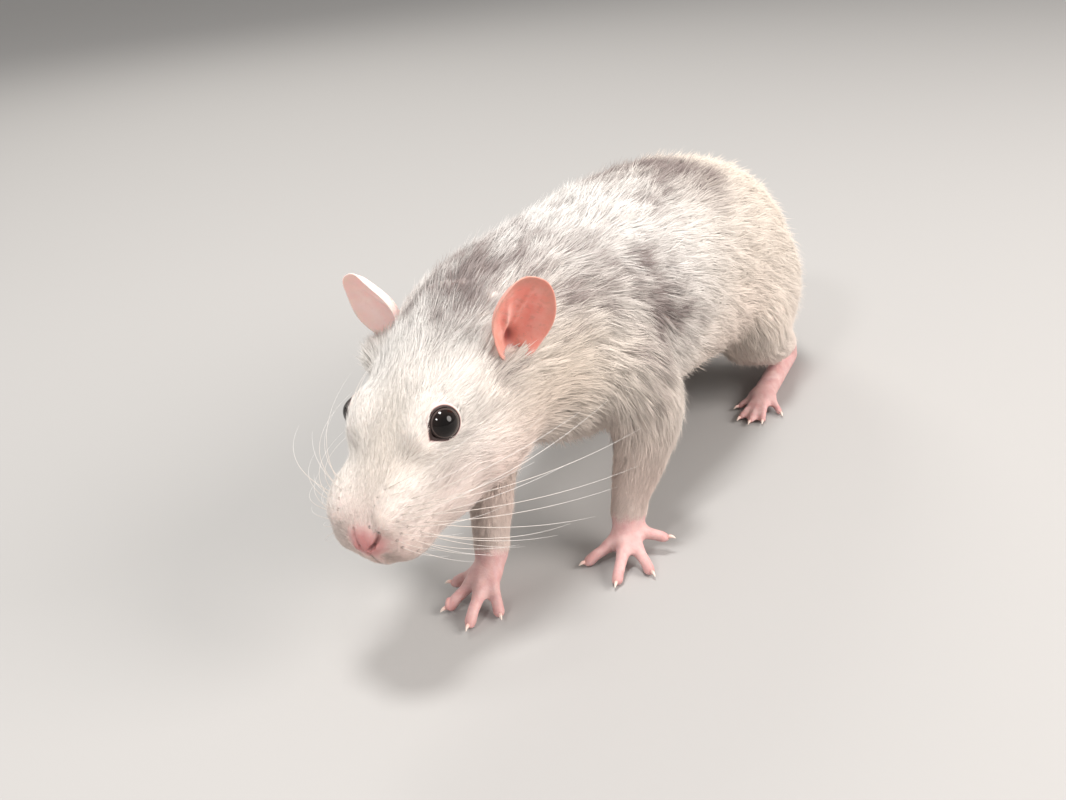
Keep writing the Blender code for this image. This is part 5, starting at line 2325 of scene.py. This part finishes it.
@dataclass
class Studio:
    """The floor, the light and the camera."""

    image_width: int = 1066
    focal_pixels: float = 1100.0
    azimuth: float = 30.2
    elevation: float = 25.0
    roll: float = -6.0
    station: tuple = (135.2, -243.8, 139.0)
    aim: tuple = (0.01, -0.05, 0.04)
    floor_size: float = 6.0
    floor_drop: float = 0.0002
    sky: tuple = (1.0, 0.97, 0.94, 1)
    sky_strength: float = 0.52
    film: float = 36.0

    def floor(self) -> None:
        """A plain pale floor."""
        bpy.ops.mesh.primitive_plane_add(size=self.floor_size, location=(0, 0, -self.floor_drop))
        plane = bpy.context.object
        plane.name = "floor"
        plane.data.materials.append(FloorFinish().material())

    def lamp(self, lamp: Lamp) -> None:
        """Hangs a lamp, which looks at the rat.

        Args:
            lamp: the lamp.
        """
        light = bpy.data.lights.new(lamp.name, "AREA")
        light.shape = "DISK"
        light.size, light.energy, light.color = lamp.size, lamp.power, lamp.colour
        hung = in_scene(lamp.name, light)
        hung.location = lamp.spot
        aim = Vector(self.aim) - Vector(lamp.spot)
        hung.rotation_euler = aim.to_track_quat("-Z", "Y").to_euler()

    def light(self) -> None:
        """Soft light from overhead and ahead, with a bright edge from behind."""
        for lamp in LAMPS:
            self.lamp(lamp)
        world = bpy.data.worlds.new("studio")
        bpy.context.scene.world = world
        world.use_nodes = True
        background = world.node_tree.nodes["Background"]
        background.inputs["Color"].default_value = self.sky
        background.inputs["Strength"].default_value = self.sky_strength

    def camera(self) -> None:
        """The camera at the photograph's angle."""
        angles = (self.azimuth, self.elevation, self.roll)
        azimuth, elevation, roll = (math.radians(angle) for angle in angles)
        level = math.cos(elevation)
        back = Vector((math.sin(azimuth) * level, -math.cos(azimuth) * level, math.sin(elevation)))
        right = Vector((math.cos(azimuth), math.sin(azimuth), 0))
        up = back.cross(right)
        across = right * math.cos(roll) + up * math.sin(roll)
        upright = up * math.cos(roll) - right * math.sin(roll)
        turn = Matrix((across, upright, back)).transposed().to_4x4()
        data = bpy.data.cameras.new("camera")
        data.sensor_width = self.film
        data.lens = self.film * self.focal_pixels / self.image_width
        data.clip_start = 0.01
        camera = in_scene("camera", data)
        camera.matrix_world = Matrix.Translation(Vector(self.station) * MM) @ turn
        bpy.context.scene.camera = camera

    def build(self) -> None:
        """Everything that stands round the rat."""
        self.floor()
        self.light()
        self.camera()
        bpy.context.scene.view_settings.view_transform = "Standard"


def main() -> None:
    """Builds every piece of the rat, then the studio."""
    logging.basicConfig(level=logging.INFO, format="%(name)s: %(message)s")
    paws = Paws()
    eyes = [Eye(side) for side in Side]
    ears = [Ear(side) for side in Side]
    skin = Skin(Groom(), paws, eyes, ears)
    skin.build()
    log.info("skin: %d faces", len(skin.piece.data.polygons))
    for part in (*eyes, *ears, paws):
        log.info("%s", part.build().name)
    for piece in Coat(skin).build():
        log.info("%s: %d faces", piece.name, len(piece.data.polygons))
    log.info("%s", Whiskers(skin).build().name)
    Studio().build()


if __name__ == "__main__":
    main()
